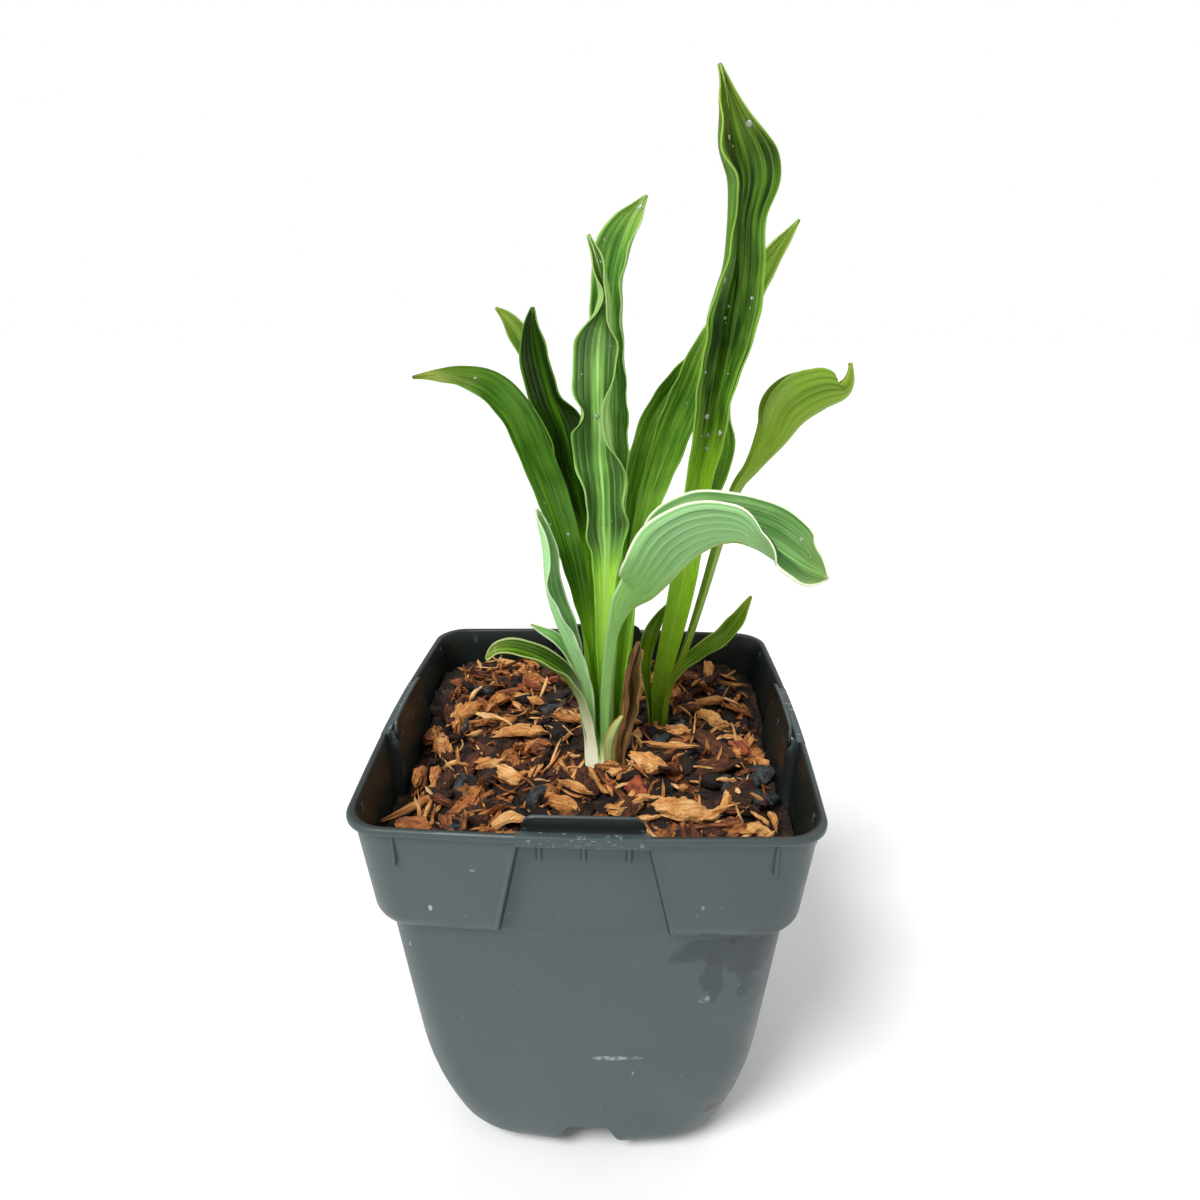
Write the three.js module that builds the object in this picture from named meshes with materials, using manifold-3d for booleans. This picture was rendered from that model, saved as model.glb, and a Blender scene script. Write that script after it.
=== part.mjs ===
// Potted hosta: a square nursery pot, its potting mix with bark chips, the rootstock, and two leafy shoots.
// Millimetres, +Z up. The origin is the middle of the pot's flat base, and -Y is the front.
import * as THREE from 'three';
import { mergeVertices } from 'three/addons/utils/BufferGeometryUtils.js';
import Module from 'manifold-3d';

const wasm = await Module();
wasm.setup();

// Driving dimensions of the pot: a deep square pot of 114 mm over the rim.
const POT_HEIGHT = 126;
const WALL = 1.0;
const CLEARANCE = 0.3;
const FLOOR = 1.2;
const SIDE_BOW = 1.5;
const CORNER_RADIUS = 9.5;

// The lip round the rim. Its profile lists how far in from the rim, and how far above its underside.
const RIM_HALF = 57.2;
const LIP_HEIGHT = 2.6;
const LIP_CORNER_RADIUS = 10;
const LIP_PROFILE = [[0.3, 0.2], [0, 0.9], [0, 1.7], [0.6, 2.6]];

// The band below the lip, which stands out from the body with a rounded lower edge.
const BAND_HALF_TOP = 55.9;
const BAND_TAPER = 0.079;
const BAND_BOTTOM = 93;
const BAND_ROUND = 4;
const BAND_EDGE_ROUND = 1.2;
const BAND_EDGE_RISE = 1;
const STEP_RISES_PER_INSET = 1.5;

// The body, whose corners widen towards the foot, and the quarter round of the foot.
const BODY_HALF = 51.1;
const BODY_HALF_AT = 95;
const BODY_TAPER = 0.078;
const FOOT_CORNER_RADIUS = 30;
const CORNER_WIDENS_BELOW = 50;
const FOOT_ROUND = 10;
const FOOT_ANGLES = [0, 30, 60, 90];
const FOOT_STRAIGHT = 3;

// The label recess in the middle of each side. Its panel ends in a tab above the rim, behind a strap.
const RECESS_WIDTH_TOP = 26;
const RECESS_WIDTH_BOTTOM = 39.6;
const RECESS_DEEPEST = 39;
const STRAP_HEIGHT = 3.8;
const STRAP_THICKNESS = 1.5;
const SLOT_OVERLAP = 1;
const LEDGE = 0.1;
const TAB_TOP = 129.4;
const TAB_CORNER = 3;

// Small moulded ribs on each side: places along it, width, depth into the wall, rise and height span.
const PANEL_RIBS = { places: [-10.5, 0, 10.7], width: 1.6, sunk: 0.8, rise: 0.8, low: 117.5, high: 124 };
const CORNER_RIBS = { places: [-44.6, 44.6], width: 1.6, sunk: 0.8, rise: 1, low: 114.5, high: 124 };

// Drain notch through the foot under the middle of each side: a short tunnel with a wall of its own.
const NOTCH_WIDTH = 26;
const NOTCH_TOP_WIDTH = 11.5;
const NOTCH_HEIGHT = 13.3;
const NOTCH_INNER_END = 31;

// The mix: its height at the wall, how far it mounds up round the shoots, and how much fuller the back is.
const MIX_AT_WALL = 108.5;
const MIX_MOUND = 4.5;
const MOUND_MIDDLE = { x: 8, y: 5 };
const MOUND_REACH = 46;
const MOUND_FALL = 1.9;
const BACK_RISE = 6.5;
const BACK_STARTS = 5;
const BACK_ENDS = 45;
const BACK_SKEW = 0.3;
const MIX_BASE = -2;
const MIX_CELLS = 16;
// Waves that make it lumpy: height, turn per millimetre along X and Y, and start.
const LUMPS = [
  [0.35, 0.31, 0.27, 0.7], [0.35, 0.31, -0.27, 1.9], [0.5, 0.63, -0.5, 0], [0.35, 0.4, 0.9, 3.57],
];

// Bark chips: each pair is a range. The profile lists a place along the chip and its share of the width.
const CHIPS = {
  count: 53, reach: 50, length: [9, 18], width: [5, 9], thickness: [3.2, 4.8], tilt: 0.35, lift: 0.6,
};
const CHIP_PROFILE = [[-0.5, 0.5], [0, 1], [0.5, 0.4]];
const CHIP_SIDES = 4;
const CHIP_TWIST = 0.3;
const CHIP_UNEVEN = [0.8, 1.15];
const CHIP_RAGGED = 0.06;

// The two shoots: where they stand, and the radius of the hole that each stands in.
const SHOOTS = {
  left: { x: 3.4, y: -2.6, hole: 7.4 },
  right: { x: 19.3, y: 18.5, hole: 5.2 },
};
const HOLE_HEIGHT = 40;
const HOLE_SIDES = 16;
const LEAF_FOOT = 100;
const SOIL_LINE = 114;

// The rootstock: a crown with a flat top under each shoot, a link between them, and fleshy roots.
const CROWN_TOP = LEAF_FOOT - CLEARANCE;
const CROWN_DEPTH = 9;
const CROWN_LEVEL = CROWN_TOP - 7;
const CROWN_INSIDE_HOLE = 0.6;
const CROWN_TAPER = 1.4;
const CROWN_SIDES = 12;
const LINK_PATH = [[0.4, -5.6, 0], [11, 7, -1], [21.3, 20.5, 0]];
const LINK_RADIUS = [4.2, 3.6];
const LINK_SIDES = 8;
const LINK_STEPS = 4;
const ROOTS = { count: 7, spread: [0.25, 0.75], reach: [14, 26], depth: [40, 68], radius: [1.8, 0.9] };
const ROOT_SIDES = 5;
const ROOT_STEPS = 5;

const CUTTER_EXTRA = 5;
const SHORTEST_EDGE = 0.02;
const SAME_POINT = 1e-4;
const degrees = (angle) => angle * Math.PI / 180;
const partWay = ([low, high], share) => low + (high - low) * share;

function seededRandom(seed) {
  let state = seed;
  return () => {
    state = (state * 1664525 + 1013904223) % 4294967296;
    return state / 4294967296;
  };
}

function toSolid(geometry) {
  const clean = geometry.clone();
  for (const name of Object.keys(clean.attributes)) {
    if (name !== 'position') clean.deleteAttribute(name);
  }
  const merged = mergeVertices(clean, SAME_POINT);
  return new wasm.Manifold(new wasm.Mesh({
    numProp: 3,
    vertProperties: new Float32Array(merged.attributes.position.array),
    triVerts: new Uint32Array(merged.index.array),
  }));
}

// The solid's mesh, with the shortest edges that a cut leaves closed up.
function toGeometry(solid) {
  const mesh = solid.getMesh();
  const raw = new THREE.BufferGeometry();
  raw.setAttribute('position', new THREE.BufferAttribute(new Float32Array(mesh.vertProperties), 3));
  raw.setIndex(new THREE.BufferAttribute(new Uint32Array(mesh.triVerts), 1));
  const geometry = mergeVertices(raw, SHORTEST_EDGE);
  const index = geometry.index.array;
  const kept = [];
  for (let i = 0; i < index.length; i += 3) {
    const [a, b, c] = [index[i], index[i + 1], index[i + 2]];
    if (a !== b && b !== c && c !== a) kept.push(a, b, c);
  }
  geometry.setIndex(kept);
  geometry.computeVertexNormals();
  return geometry;
}

function largestPiece(solid) {
  let largest = null;
  for (const piece of solid.decompose()) {
    if (!largest || piece.volume() > largest.volume()) largest = piece;
  }
  return largest;
}

function geometryFrom(points, faces) {
  const geometry = new THREE.BufferGeometry();
  geometry.setAttribute('position', new THREE.BufferAttribute(new Float32Array(points.flat()), 3));
  geometry.setIndex(faces.flat());
  return geometry;
}

// Closes a stack of equal rings, lowest first, with a fan at each end.
function loftRings(rings) {
  const count = rings[0].length;
  const points = rings.flat();
  const faces = [];
  for (let r = 0; r + 1 < rings.length; r += 1) {
    for (let i = 0; i < count; i += 1) {
      const next = (i + 1) % count;
      const a = r * count + i;
      const b = r * count + next;
      faces.push([a, b, b + count], [a, b + count, a + count]);
    }
  }
  const middle = (ring) => ring.reduce((sum, p) => sum.map((v, k) => v + p[k] / count), [0, 0, 0]);
  const bottom = points.push(middle(rings[0])) - 1;
  const top = points.push(middle(rings[rings.length - 1])) - 1;
  const last = (rings.length - 1) * count;
  for (let i = 0; i < count; i += 1) {
    const next = (i + 1) % count;
    faces.push([bottom, next, i], [top, last + i, last + next]);
  }
  return geometryFrom(points, faces);
}

// A square with round corners, whose sides bow out a little in the middle.
function roundedSquare(half, corner, bow, z) {
  const sideSteps = 4;
  const cornerSteps = 4;
  const ring = [];
  for (let quarter = 0; quarter < 4; quarter += 1) {
    const turn = quarter * Math.PI / 2;
    const place = (x, y) => ring.push([
      Math.cos(turn) * x - Math.sin(turn) * y,
      Math.sin(turn) * x + Math.cos(turn) * y,
      z,
    ]);
    for (let i = 0; i < sideSteps; i += 1) {
      const t = -1 + 2 * i / sideSteps;
      place(half + bow * Math.cos(t * Math.PI / 2), t * (half - corner));
    }
    for (let i = 0; i < cornerSteps; i += 1) {
      const angle = (i / cornerSteps) * Math.PI / 2;
      place(half - corner + corner * Math.cos(angle), half - corner + corner * Math.sin(angle));
    }
  }
  return ring;
}

// Half-width of the lower body, carried on up behind the band as the label panel.
const bodyHalf = (z) => BODY_HALF + BODY_TAPER * (z - BODY_HALF_AT);
const bandHalf = (z) => BAND_HALF_TOP - BAND_TAPER * (POT_HEIGHT - LIP_HEIGHT - z);
const bodyCorner = (z) => {
  const low = Math.max(0, CORNER_WIDENS_BELOW - z) / CORNER_WIDENS_BELOW;
  return CORNER_RADIUS + (FOOT_CORNER_RADIUS - CORNER_RADIUS) * low * low;
};

function bodyRing(z, inset) {
  return roundedSquare(bodyHalf(z) - inset, bodyCorner(z) - inset, SIDE_BOW, z);
}

// The foot of the pot: the lower body turns in to the flat base through a quarter round.
function footRings(inset, floor) {
  return FOOT_ANGLES.map((angle) => {
    const turn = degrees(angle);
    const half = bodyHalf(FOOT_ROUND) - FOOT_ROUND * (1 - Math.sin(turn)) - inset * Math.sin(turn);
    const z = FOOT_ROUND - (FOOT_ROUND - floor) * Math.cos(turn);
    const corner = Math.min(bodyCorner(z), half - FOOT_STRAIGHT);
    return roundedSquare(half, corner, SIDE_BOW * Math.sin(turn), z);
  });
}

// Where the body steps out to the band; inside, the step lies higher, so that the wall keeps its thickness.
const stepHeight = (inset) => BAND_BOTTOM + STEP_RISES_PER_INSET * inset;

// The whole outline of the pot, or of its inside when inset is the wall.
function potOutline(inset, floor, top) {
  const step = stepHeight(inset);
  const bandRing = (z, shift) => roundedSquare(bandHalf(z) - inset - shift, CORNER_RADIUS, SIDE_BOW, z);
  return [
    ...footRings(inset, floor),
    bodyRing(CORNER_WIDENS_BELOW / 2, inset),
    bodyRing(CORNER_WIDENS_BELOW, inset),
    bodyRing(step, inset),
    bandRing(step + BAND_EDGE_RISE, BAND_EDGE_ROUND),
    bandRing(step + BAND_ROUND, 0),
    bandRing(top, 0),
  ];
}

// A prism that stands out along +Y over an outline in X and Z, turned to one side of the pot.
function sidePrism(outline, near, far, side) {
  const shape = new THREE.Shape(outline.map(([x, z]) => new THREE.Vector2(x, z)));
  const geometry = new THREE.ExtrudeGeometry(shape, { depth: far - near, bevelEnabled: false });
  geometry.rotateX(Math.PI / 2);
  geometry.translate(0, far, 0);
  geometry.rotateZ(side * Math.PI / 2);
  return toSolid(geometry);
}

// An upright outline round the middle of a side, as wide as given at its low and its high end.
function tapered(widthLow, widthHigh, low, high) {
  return [[-widthLow / 2, low], [widthLow / 2, low], [widthHigh / 2, high], [-widthHigh / 2, high]];
}

const RECESS_SLOPE = (RECESS_WIDTH_BOTTOM - RECESS_WIDTH_TOP) / (POT_HEIGHT - BAND_BOTTOM);
const recessWidth = (z) => RECESS_WIDTH_TOP + RECESS_SLOPE * (POT_HEIGHT - z);

function recessBlock(widen, low, high, far, side) {
  const outline = tapered(recessWidth(low) + 2 * widen, recessWidth(high) + 2 * widen, low, high);
  return sidePrism(outline, RECESS_DEEPEST, far, side);
}

function notchBlock(widen, side) {
  const bottomWidth = NOTCH_WIDTH + 2 * widen;
  const topWidth = NOTCH_TOP_WIDTH + 2 * widen;
  const outline = tapered(bottomWidth, topWidth, -LEDGE, NOTCH_HEIGHT + widen);
  return sidePrism(outline, NOTCH_INNER_END - widen, RIM_HALF, side);
}

// The lower body carried on straight up, which gives the face of the label panels.
function labelPanels(inset, top) {
  const ring = (z) => roundedSquare(bodyHalf(z) - inset, CORNER_RADIUS - inset, SIDE_BOW, z);
  return toSolid(loftRings([ring(BAND_BOTTOM - CUTTER_EXTRA), ring(top)]));
}

// The hollow of the pot, less the label panels and the notches that stand in it.
// It is also the outline of the mix.
function potHollow(inset, floor) {
  const top = TAB_TOP + CUTTER_EXTRA;
  let hollow = toSolid(loftRings(potOutline(inset, floor, top)));
  const panelCore = labelPanels(inset, top + CUTTER_EXTRA);
  for (let side = 0; side < 4; side += 1) {
    const low = stepHeight(inset) + LEDGE;
    const block = recessBlock(inset, low, top + 1, RIM_HALF + CUTTER_EXTRA, side);
    hollow = hollow.subtract(block.subtract(panelCore)).subtract(notchBlock(inset, side));
  }
  return hollow;
}

// The outline of the tab that a label panel ends in: two round corners on a straight stem.
function tabOutline() {
  const half = RECESS_WIDTH_TOP / 2 + WALL;
  const corner = (sign, angle) => [
    sign * (half - TAB_CORNER + TAB_CORNER * Math.cos(degrees(angle))),
    TAB_TOP - TAB_CORNER + TAB_CORNER * Math.sin(degrees(angle)),
  ];
  return [
    [-half, POT_HEIGHT - STRAP_HEIGHT],
    [half, POT_HEIGHT - STRAP_HEIGHT],
    ...[0, 45, 90].map((angle) => corner(1, angle)),
    ...[90, 45, 0].map((angle) => corner(-1, angle)),
  ];
}

function makePot() {
  const rings = potOutline(0, 0, POT_HEIGHT - LIP_HEIGHT);
  for (const [back, rise] of LIP_PROFILE) {
    rings.push(roundedSquare(RIM_HALF - back, LIP_CORNER_RADIUS, SIDE_BOW, POT_HEIGHT - LIP_HEIGHT + rise));
  }
  let pot = toSolid(loftRings(rings));

  const outside = RIM_HALF + CUTTER_EXTRA;
  const panelFace = labelPanels(0, TAB_TOP + CUTTER_EXTRA);
  const panelBack = labelPanels(WALL, TAB_TOP + 2 * CUTTER_EXTRA);
  const strapBottom = POT_HEIGHT - STRAP_HEIGHT;
  const strapInside = RIM_HALF + SIDE_BOW - STRAP_THICKNESS;
  for (let side = 0; side < 4; side += 1) {
    const window = recessBlock(0, BAND_BOTTOM + LEDGE, strapBottom, outside, side);
    const slot = recessBlock(0, strapBottom - SLOT_OVERLAP, POT_HEIGHT + CUTTER_EXTRA, strapInside, side);
    pot = pot.subtract(window.add(slot).subtract(panelFace));
  }
  pot = pot.subtract(potHollow(WALL, FLOOR));

  const ribs = [[PANEL_RIBS, bodyHalf], [CORNER_RIBS, bandHalf]];
  for (let side = 0; side < 4; side += 1) {
    const tab = sidePrism(tabOutline(), RECESS_DEEPEST, outside, side);
    pot = pot.add(tab.intersect(panelFace).subtract(panelBack));
    pot = pot.subtract(notchBlock(0, side));
    for (const [{ places, width, sunk, rise, low, high }, wallHalf] of ribs) {
      for (const place of places) {
        const bow = SIDE_BOW * Math.cos(place / (RIM_HALF - CORNER_RADIUS) * Math.PI / 2);
        const face = wallHalf((low + high) / 2) + bow;
        const outline = tapered(width, width, low, high).map(([x, z]) => [place + x, z]);
        pot = pot.add(sidePrism(outline, face - sunk, face + rise, side));
      }
    }
  }
  return largestPiece(pot);
}

// A tube through hand-set points, its radius running evenly from the first value to the last.
function taperedTube(points, radii, sides, steps) {
  const curve = new THREE.CatmullRomCurve3(points.map((p) => new THREE.Vector3(...p)));
  const frames = curve.computeFrenetFrames(steps, false);
  const rings = [];
  for (let i = 0; i <= steps; i += 1) {
    const centre = curve.getPointAt(i / steps);
    const radius = partWay(radii, i / steps);
    const ring = [];
    for (let k = 0; k < sides; k += 1) {
      const angle = 2 * Math.PI * k / sides;
      const p = centre.clone()
        .addScaledVector(frames.normals[i], radius * Math.cos(angle))
        .addScaledVector(frames.binormals[i], radius * Math.sin(angle));
      ring.push([p.x, p.y, p.z]);
    }
    rings.push(ring);
  }
  return toSolid(loftRings(rings));
}

// The rootstock, swollen all over by grow.
function makeRootstock(grow) {
  const swollen = (radii) => radii.map((radius) => radius + grow);
  const crown = (shoot) => {
    const top = shoot.hole - CROWN_INSIDE_HOLE + grow;
    const geometry = new THREE.CylinderGeometry(top, top - CROWN_TAPER, CROWN_DEPTH + grow, CROWN_SIDES);
    geometry.rotateX(Math.PI / 2);
    geometry.translate(shoot.x, shoot.y, CROWN_TOP - (CROWN_DEPTH + grow) / 2);
    return toSolid(geometry);
  };
  const link = LINK_PATH.map(([x, y, rise]) => [x, y, CROWN_LEVEL + rise]);
  let stock = crown(SHOOTS.left).add(crown(SHOOTS.right));
  stock = stock.add(taperedTube(link, swollen(LINK_RADIUS), LINK_SIDES, LINK_STEPS));
  const random = seededRandom(7);
  for (let i = 0; i < ROOTS.count; i += 1) {
    const bearing = (i + partWay(ROOTS.spread, random())) * 2 * Math.PI / ROOTS.count;
    const shoot = i % 3 === 1 ? SHOOTS.right : SHOOTS.left;
    const reach = partWay(ROOTS.reach, random());
    const depth = partWay(ROOTS.depth, random());
    const out = (distance, drop) => [
      shoot.x + distance * Math.sin(bearing),
      shoot.y + distance * Math.cos(bearing),
      CROWN_LEVEL - drop,
    ];
    const path = [out(1, 1), out(5, 4), out(0.6 * reach, 0.45 * depth), out(reach, depth)];
    stock = stock.add(taperedTube(path, swollen(ROOTS.radius), ROOT_SIDES, ROOT_STEPS));
  }
  return largestPiece(stock);
}

// Height of the mix: it mounds towards the shoots, lies fuller at the back, and is lumpy all over.
function mixHeight(x, y) {
  const away = Math.hypot(x - MOUND_MIDDLE.x, y - MOUND_MIDDLE.y) / MOUND_REACH;
  const mound = MIX_MOUND * Math.exp(-MOUND_FALL * away * away);
  const back = BACK_RISE * THREE.MathUtils.smoothstep(y - BACK_SKEW * x, BACK_STARTS, BACK_ENDS);
  const lumps = LUMPS.reduce((sum, [height, alongX, alongY, start]) => (
    sum + height * Math.sin(alongX * x + alongY * y + start)
  ), 0);
  return MIX_AT_WALL + mound + back + lumps;
}

// One bark chip: a long splinter with uneven ends.
function barkChip(length, width, thickness, random) {
  const rings = CHIP_PROFILE.map(([at, share]) => {
    const ring = [];
    for (let k = 0; k < CHIP_SIDES; k += 1) {
      const angle = 2 * Math.PI * (k + CHIP_TWIST) / CHIP_SIDES;
      const size = share * partWay(CHIP_UNEVEN, random());
      ring.push([
        size * width / 2 * Math.cos(angle),
        size * thickness / 2 * Math.sin(angle),
        (at + partWay([-CHIP_RAGGED, CHIP_RAGGED], random())) * length,
      ]);
    }
    return ring;
  });
  const geometry = loftRings(rings);
  geometry.rotateX(Math.PI / 2);
  return geometry;
}

// A block of mix under its lumpy surface, wider than the pot.
function mixBlock() {
  const span = RIM_HALF + CUTTER_EXTRA;
  const cell = 2 * span / MIX_CELLS;
  const points = [];
  const faces = [];
  for (const surface of [() => MIX_BASE, mixHeight]) {
    for (let j = 0; j <= MIX_CELLS; j += 1) {
      for (let i = 0; i <= MIX_CELLS; i += 1) {
        const x = -span + i * cell;
        const y = -span + j * cell;
        points.push([x, y, surface(x, y)]);
      }
    }
  }
  const across = MIX_CELLS + 1;
  const upper = across * across;
  for (let j = 0; j < MIX_CELLS; j += 1) {
    for (let i = 0; i < MIX_CELLS; i += 1) {
      const a = j * across + i;
      const quad = [a, a + 1, a + across + 1, a + across];
      const [p, q, r, s] = quad.map((v) => v + upper);
      faces.push([p, q, r], [p, r, s]);
      faces.push([quad[0], quad[2], quad[1]], [quad[0], quad[3], quad[2]]);
    }
  }
  const wall = (a, b) => faces.push([a, b, b + upper], [a, b + upper, a + upper]);
  for (let i = 0; i < MIX_CELLS; i += 1) {
    wall(i, i + 1);
    wall(MIX_CELLS * across + i + 1, MIX_CELLS * across + i);
    wall((i + 1) * across, i * across);
    wall(i * across + MIX_CELLS, (i + 1) * across + MIX_CELLS);
  }
  return toSolid(geometryFrom(points, faces));
}

function makeMix(rootSpace) {
  const random = seededRandom(41);
  const chips = [];
  for (let i = 0; i < CHIPS.count; i += 1) {
    const x = partWay([-CHIPS.reach, CHIPS.reach], random());
    const y = partWay([-CHIPS.reach, CHIPS.reach], random());
    const length = partWay(CHIPS.length, random());
    const width = partWay(CHIPS.width, random());
    const thickness = partWay(CHIPS.thickness, random());
    const chip = barkChip(length, width, thickness, random);
    chip.rotateX(partWay([-CHIPS.tilt, CHIPS.tilt], random()));
    chip.rotateZ(random() * Math.PI);
    chip.translate(x, y, mixHeight(x, y) + CHIPS.lift);
    chips.push(toSolid(chip));
  }
  const room = potHollow(WALL + CLEARANCE, FLOOR + CLEARANCE);
  let filling = mixBlock().add(wasm.Manifold.union(chips)).intersect(room).subtract(rootSpace);
  for (const shoot of Object.values(SHOOTS)) {
    const hole = new THREE.CylinderGeometry(shoot.hole, shoot.hole, HOLE_HEIGHT, HOLE_SIDES);
    hole.rotateX(Math.PI / 2);
    hole.translate(shoot.x, shoot.y, CROWN_TOP - CLEARANCE + HOLE_HEIGHT / 2);
    filling = filling.subtract(toSolid(hole));
  }
  return largestPiece(filling);
}

// Each leaf is a list of stations from its base to its tip:
// [x, y, z of the rib, half-width, roll, fold at the rib, fold at the left margin, fold at the right
// margin]. Roll 0 faces the front and 90 faces left. A fold lifts a half-blade from the flat, towards
// the leaf's face.
const LEAVES = [
  { name: 'leaf_centre_front', shoot: 'left', ring: 0.7, bearing: 0, base: 2.4, across: 3,
    colour: 0x4f8a2f, stations: [
    [3.5, -2.5, 134, 2.6, 0, 20, 75, 75],
    [3, -1.5, 149, 2.8, 0, 15, 65, 65],
    [3, -0.5, 164, 3.4, 0, 15, 60, 50],
    [3, 1, 174.5, 5, 0, 10, 75, 25],
    [2.5, 1.5, 181, 7, 0, 10, 90, 10],
    [2.5, 2, 188.5, 7, 0, 10, 95, 60],
    [2, 2.5, 195, 7, 0, 10, 60, 25],
    [1.5, 3, 201, 7, 0, 10, 5, 95],
    [1.5, 3, 207, 8, 0, 10, 50, 150],
    [1, 3, 212, 7.6, 0, 10, 105, 150],
    [1, 3, 218, 6.8, 0, 10, 30, 110],
    [1, 3, 225, 6.3, 0, 10, 10, 60],
    [1.5, 3, 230.5, 6.5, 0, 20, 50, 80],
    [2.5, 2.5, 236, 5.5, 0, 30, 120, 130],
    [2.5, 2, 241, 4.2, 0, 40, 130, 130],
    [1, 1, 247, 2.5, 0, 30, 90, 90],
    [-1, 0, 253, 0.4, 0, 20, 40, 40],
  ] },
  { name: 'leaf_centre_back', shoot: 'left', ring: 1.9, bearing: 0, base: 2.4, across: 3,
    colour: 0x4a8030, stations: [
    [4, 0.5, 132.5, 2.2, 0, 10, 50, 50],
    [5, 4, 153.5, 2.3, 0, 10, 50, 50],
    [5.5, 7, 173, 2.8, 0, 15, 50, 50],
    [5.5, 8.5, 192.5, 4.4, 0, 20, 60, 60],
    [5, 8.5, 211, 6, 0, 20, 60, 80],
    [4.5, 8, 226.5, 6, 5, 20, 60, 90],
    [4.5, 7, 237, 6.2, 10, 25, 50, 95],
    [5, 6.5, 244, 5.8, 15, 25, 35, 90],
    [6.5, 5.5, 250, 6.4, 18, 25, 30, 85],
    [8.5, 4.5, 255, 4.6, 18, 20, 25, 75],
    [10.5, 4, 258.5, 2.2, 15, 15, 20, 50],
    [12.5, 4, 261.5, 0.4, 10, 10, 20, 20],
  ] },
  { name: 'leaf_front_drooping', shoot: 'left', ring: 3.2, bearing: 166, base: 1.8, across: 3,
    colour: 0x7fb08a, stations: [
    [4.5, -6.5, 131, 2.4, 155, 15, 50, 50],
    [5.5, -8.5, 146.5, 2.6, 135, 15, 45, 45],
    [7, -10, 156.5, 3.4, 110, 25, 45, 55],
    [10.5, -11, 163, 7, 100, 45, 60, 65],
    [15.5, -13, 167, 11.5, 100, 50, 60, 75],
    [20, -15, 172.5, 14.5, 100, 55, 65, 60],
    [24.5, -17, 178.5, 16, 98, 60, 70, 70],
    [29.5, -19, 183, 14.5, 95, 60, 70, 78],
    [35, -21, 185, 11.5, 85, 60, 72, 85],
    [40, -23, 184, 11.5, 72, 55, 66, 45],
    [44.5, -24, 182, 11, 62, 50, 60, 15],
    [49.5, -25.5, 179.5, 9, 60, 45, 55, 5],
    [53.5, -26.5, 178.5, 5, 60, 35, 45, 0],
    [56.5, -27, 177.5, 0.5, 60, 20, 30, 30],
  ] },
  { name: 'leaf_left_arching', shoot: 'left', ring: 3.2, bearing: -124, base: 1.8, across: 3,
    colour: 0x3f7a30, stations: [
    [-1.5, -3, 131, 2.2, -95, 20, 45, 45],
    [-2, -2.5, 146.5, 2.5, -70, 25, 45, 45],
    [-4, 0, 160.5, 3.2, -40, 25, 40, 40],
    [-7, 2, 174.5, 4, -25, 25, 35, 35],
    [-11, 4, 188, 4.8, -15, 25, 30, 30],
    [-15.5, 5.5, 199.5, 5, -15, 25, 30, 30],
    [-20.5, 7, 210, 5, -20, 25, 30, 30],
    [-27, 8, 216.5, 4.6, -25, 25, 30, 30],
    [-34.5, 9, 219, 3.2, -30, 25, 30, 30],
    [-41, 9.5, 219.5, 1.8, -30, 20, 20, 20],
    [-48, 10, 219, 0.4, -30, 20, 20, 20],
  ] },
  { name: 'leaf_left_folded', shoot: 'left', ring: 3.2, bearing: -55, base: 1.8, across: 3,
    colour: 0x2f6a28, stations: [
    [-0.5, 1.5, 135.5, 2.1, -40, 30, 50, 50],
    [-1.5, 4.5, 153, 2.4, -25, 40, 55, 55],
    [-1.5, 8, 170, 3.2, -10, 45, 60, 60],
    [-4, 10, 185, 5, 0, 50, 60, 60],
    [-6.5, 10, 196.5, 6.5, 0, 50, 60, 50],
    [-9, 10.5, 205.5, 7, -15, 50, 55, 20],
    [-11.5, 11, 214.5, 7, 10, 50, 50, 60],
    [-14, 11, 223.5, 6.5, 10, 50, 40, 60],
    [-15.5, 11, 230.5, 4.2, 10, 50, 45, 55],
    [-16, 11, 236.5, 0.5, 10, 50, 50, 50],
  ] },
  { name: 'leaf_left_back', shoot: 'left', ring: 4.5, bearing: -20, base: 2.0, across: 2,
    colour: 0x5c9433, stations: [
    [0.5, 4.5, 131, 2, -40, 20, 40, 40],
    [-0.5, 8.5, 151.5, 2.3, -30, 20, 40, 40],
    [-2, 12, 168.5, 3, -20, 30, 40, 40],
    [-5, 14, 184, 4, -10, 30, 40, 40],
    [-8.5, 16, 197.5, 4.2, 0, 30, 40, 40],
    [-12.5, 17, 211, 4.2, 0, 30, 40, 40],
    [-16, 17.5, 222.5, 3.8, 0, 30, 35, 35],
    [-20.5, 18, 229.5, 3.2, 0, 20, 30, 30],
    [-23.5, 18, 233.5, 1.8, 0, 20, 20, 20],
    [-26.5, 18, 236, 0.4, 0, 20, 20, 20],
  ] },
  { name: 'leaf_middle_dark', shoot: 'left', ring: 3.2, bearing: 14, base: 1.8, across: 2,
    colour: 0x2e6626, stations: [
    [6.5, 3, 131.5, 2, 20, 10, 45, 45],
    [8, 8, 152.5, 2.2, 15, 20, 45, 45],
    [8.5, 12.5, 169.5, 2.8, 10, 30, 45, 45],
    [9.5, 16, 185, 4, 0, 40, 50, 50],
    [12, 18, 196, 4.5, 0, 45, 50, 55],
    [15, 20, 205.5, 4.6, 5, 45, 50, 55],
    [18.5, 23, 212, 4.2, 5, 45, 50, 55],
    [22.5, 25, 218, 3, 5, 40, 45, 45],
    [25.5, 26.5, 223, 0.5, 5, 40, 40, 40],
  ] },
  { name: 'leaf_middle_broad', shoot: 'left', ring: 3.2, bearing: 85, base: 1.8, across: 2,
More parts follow.
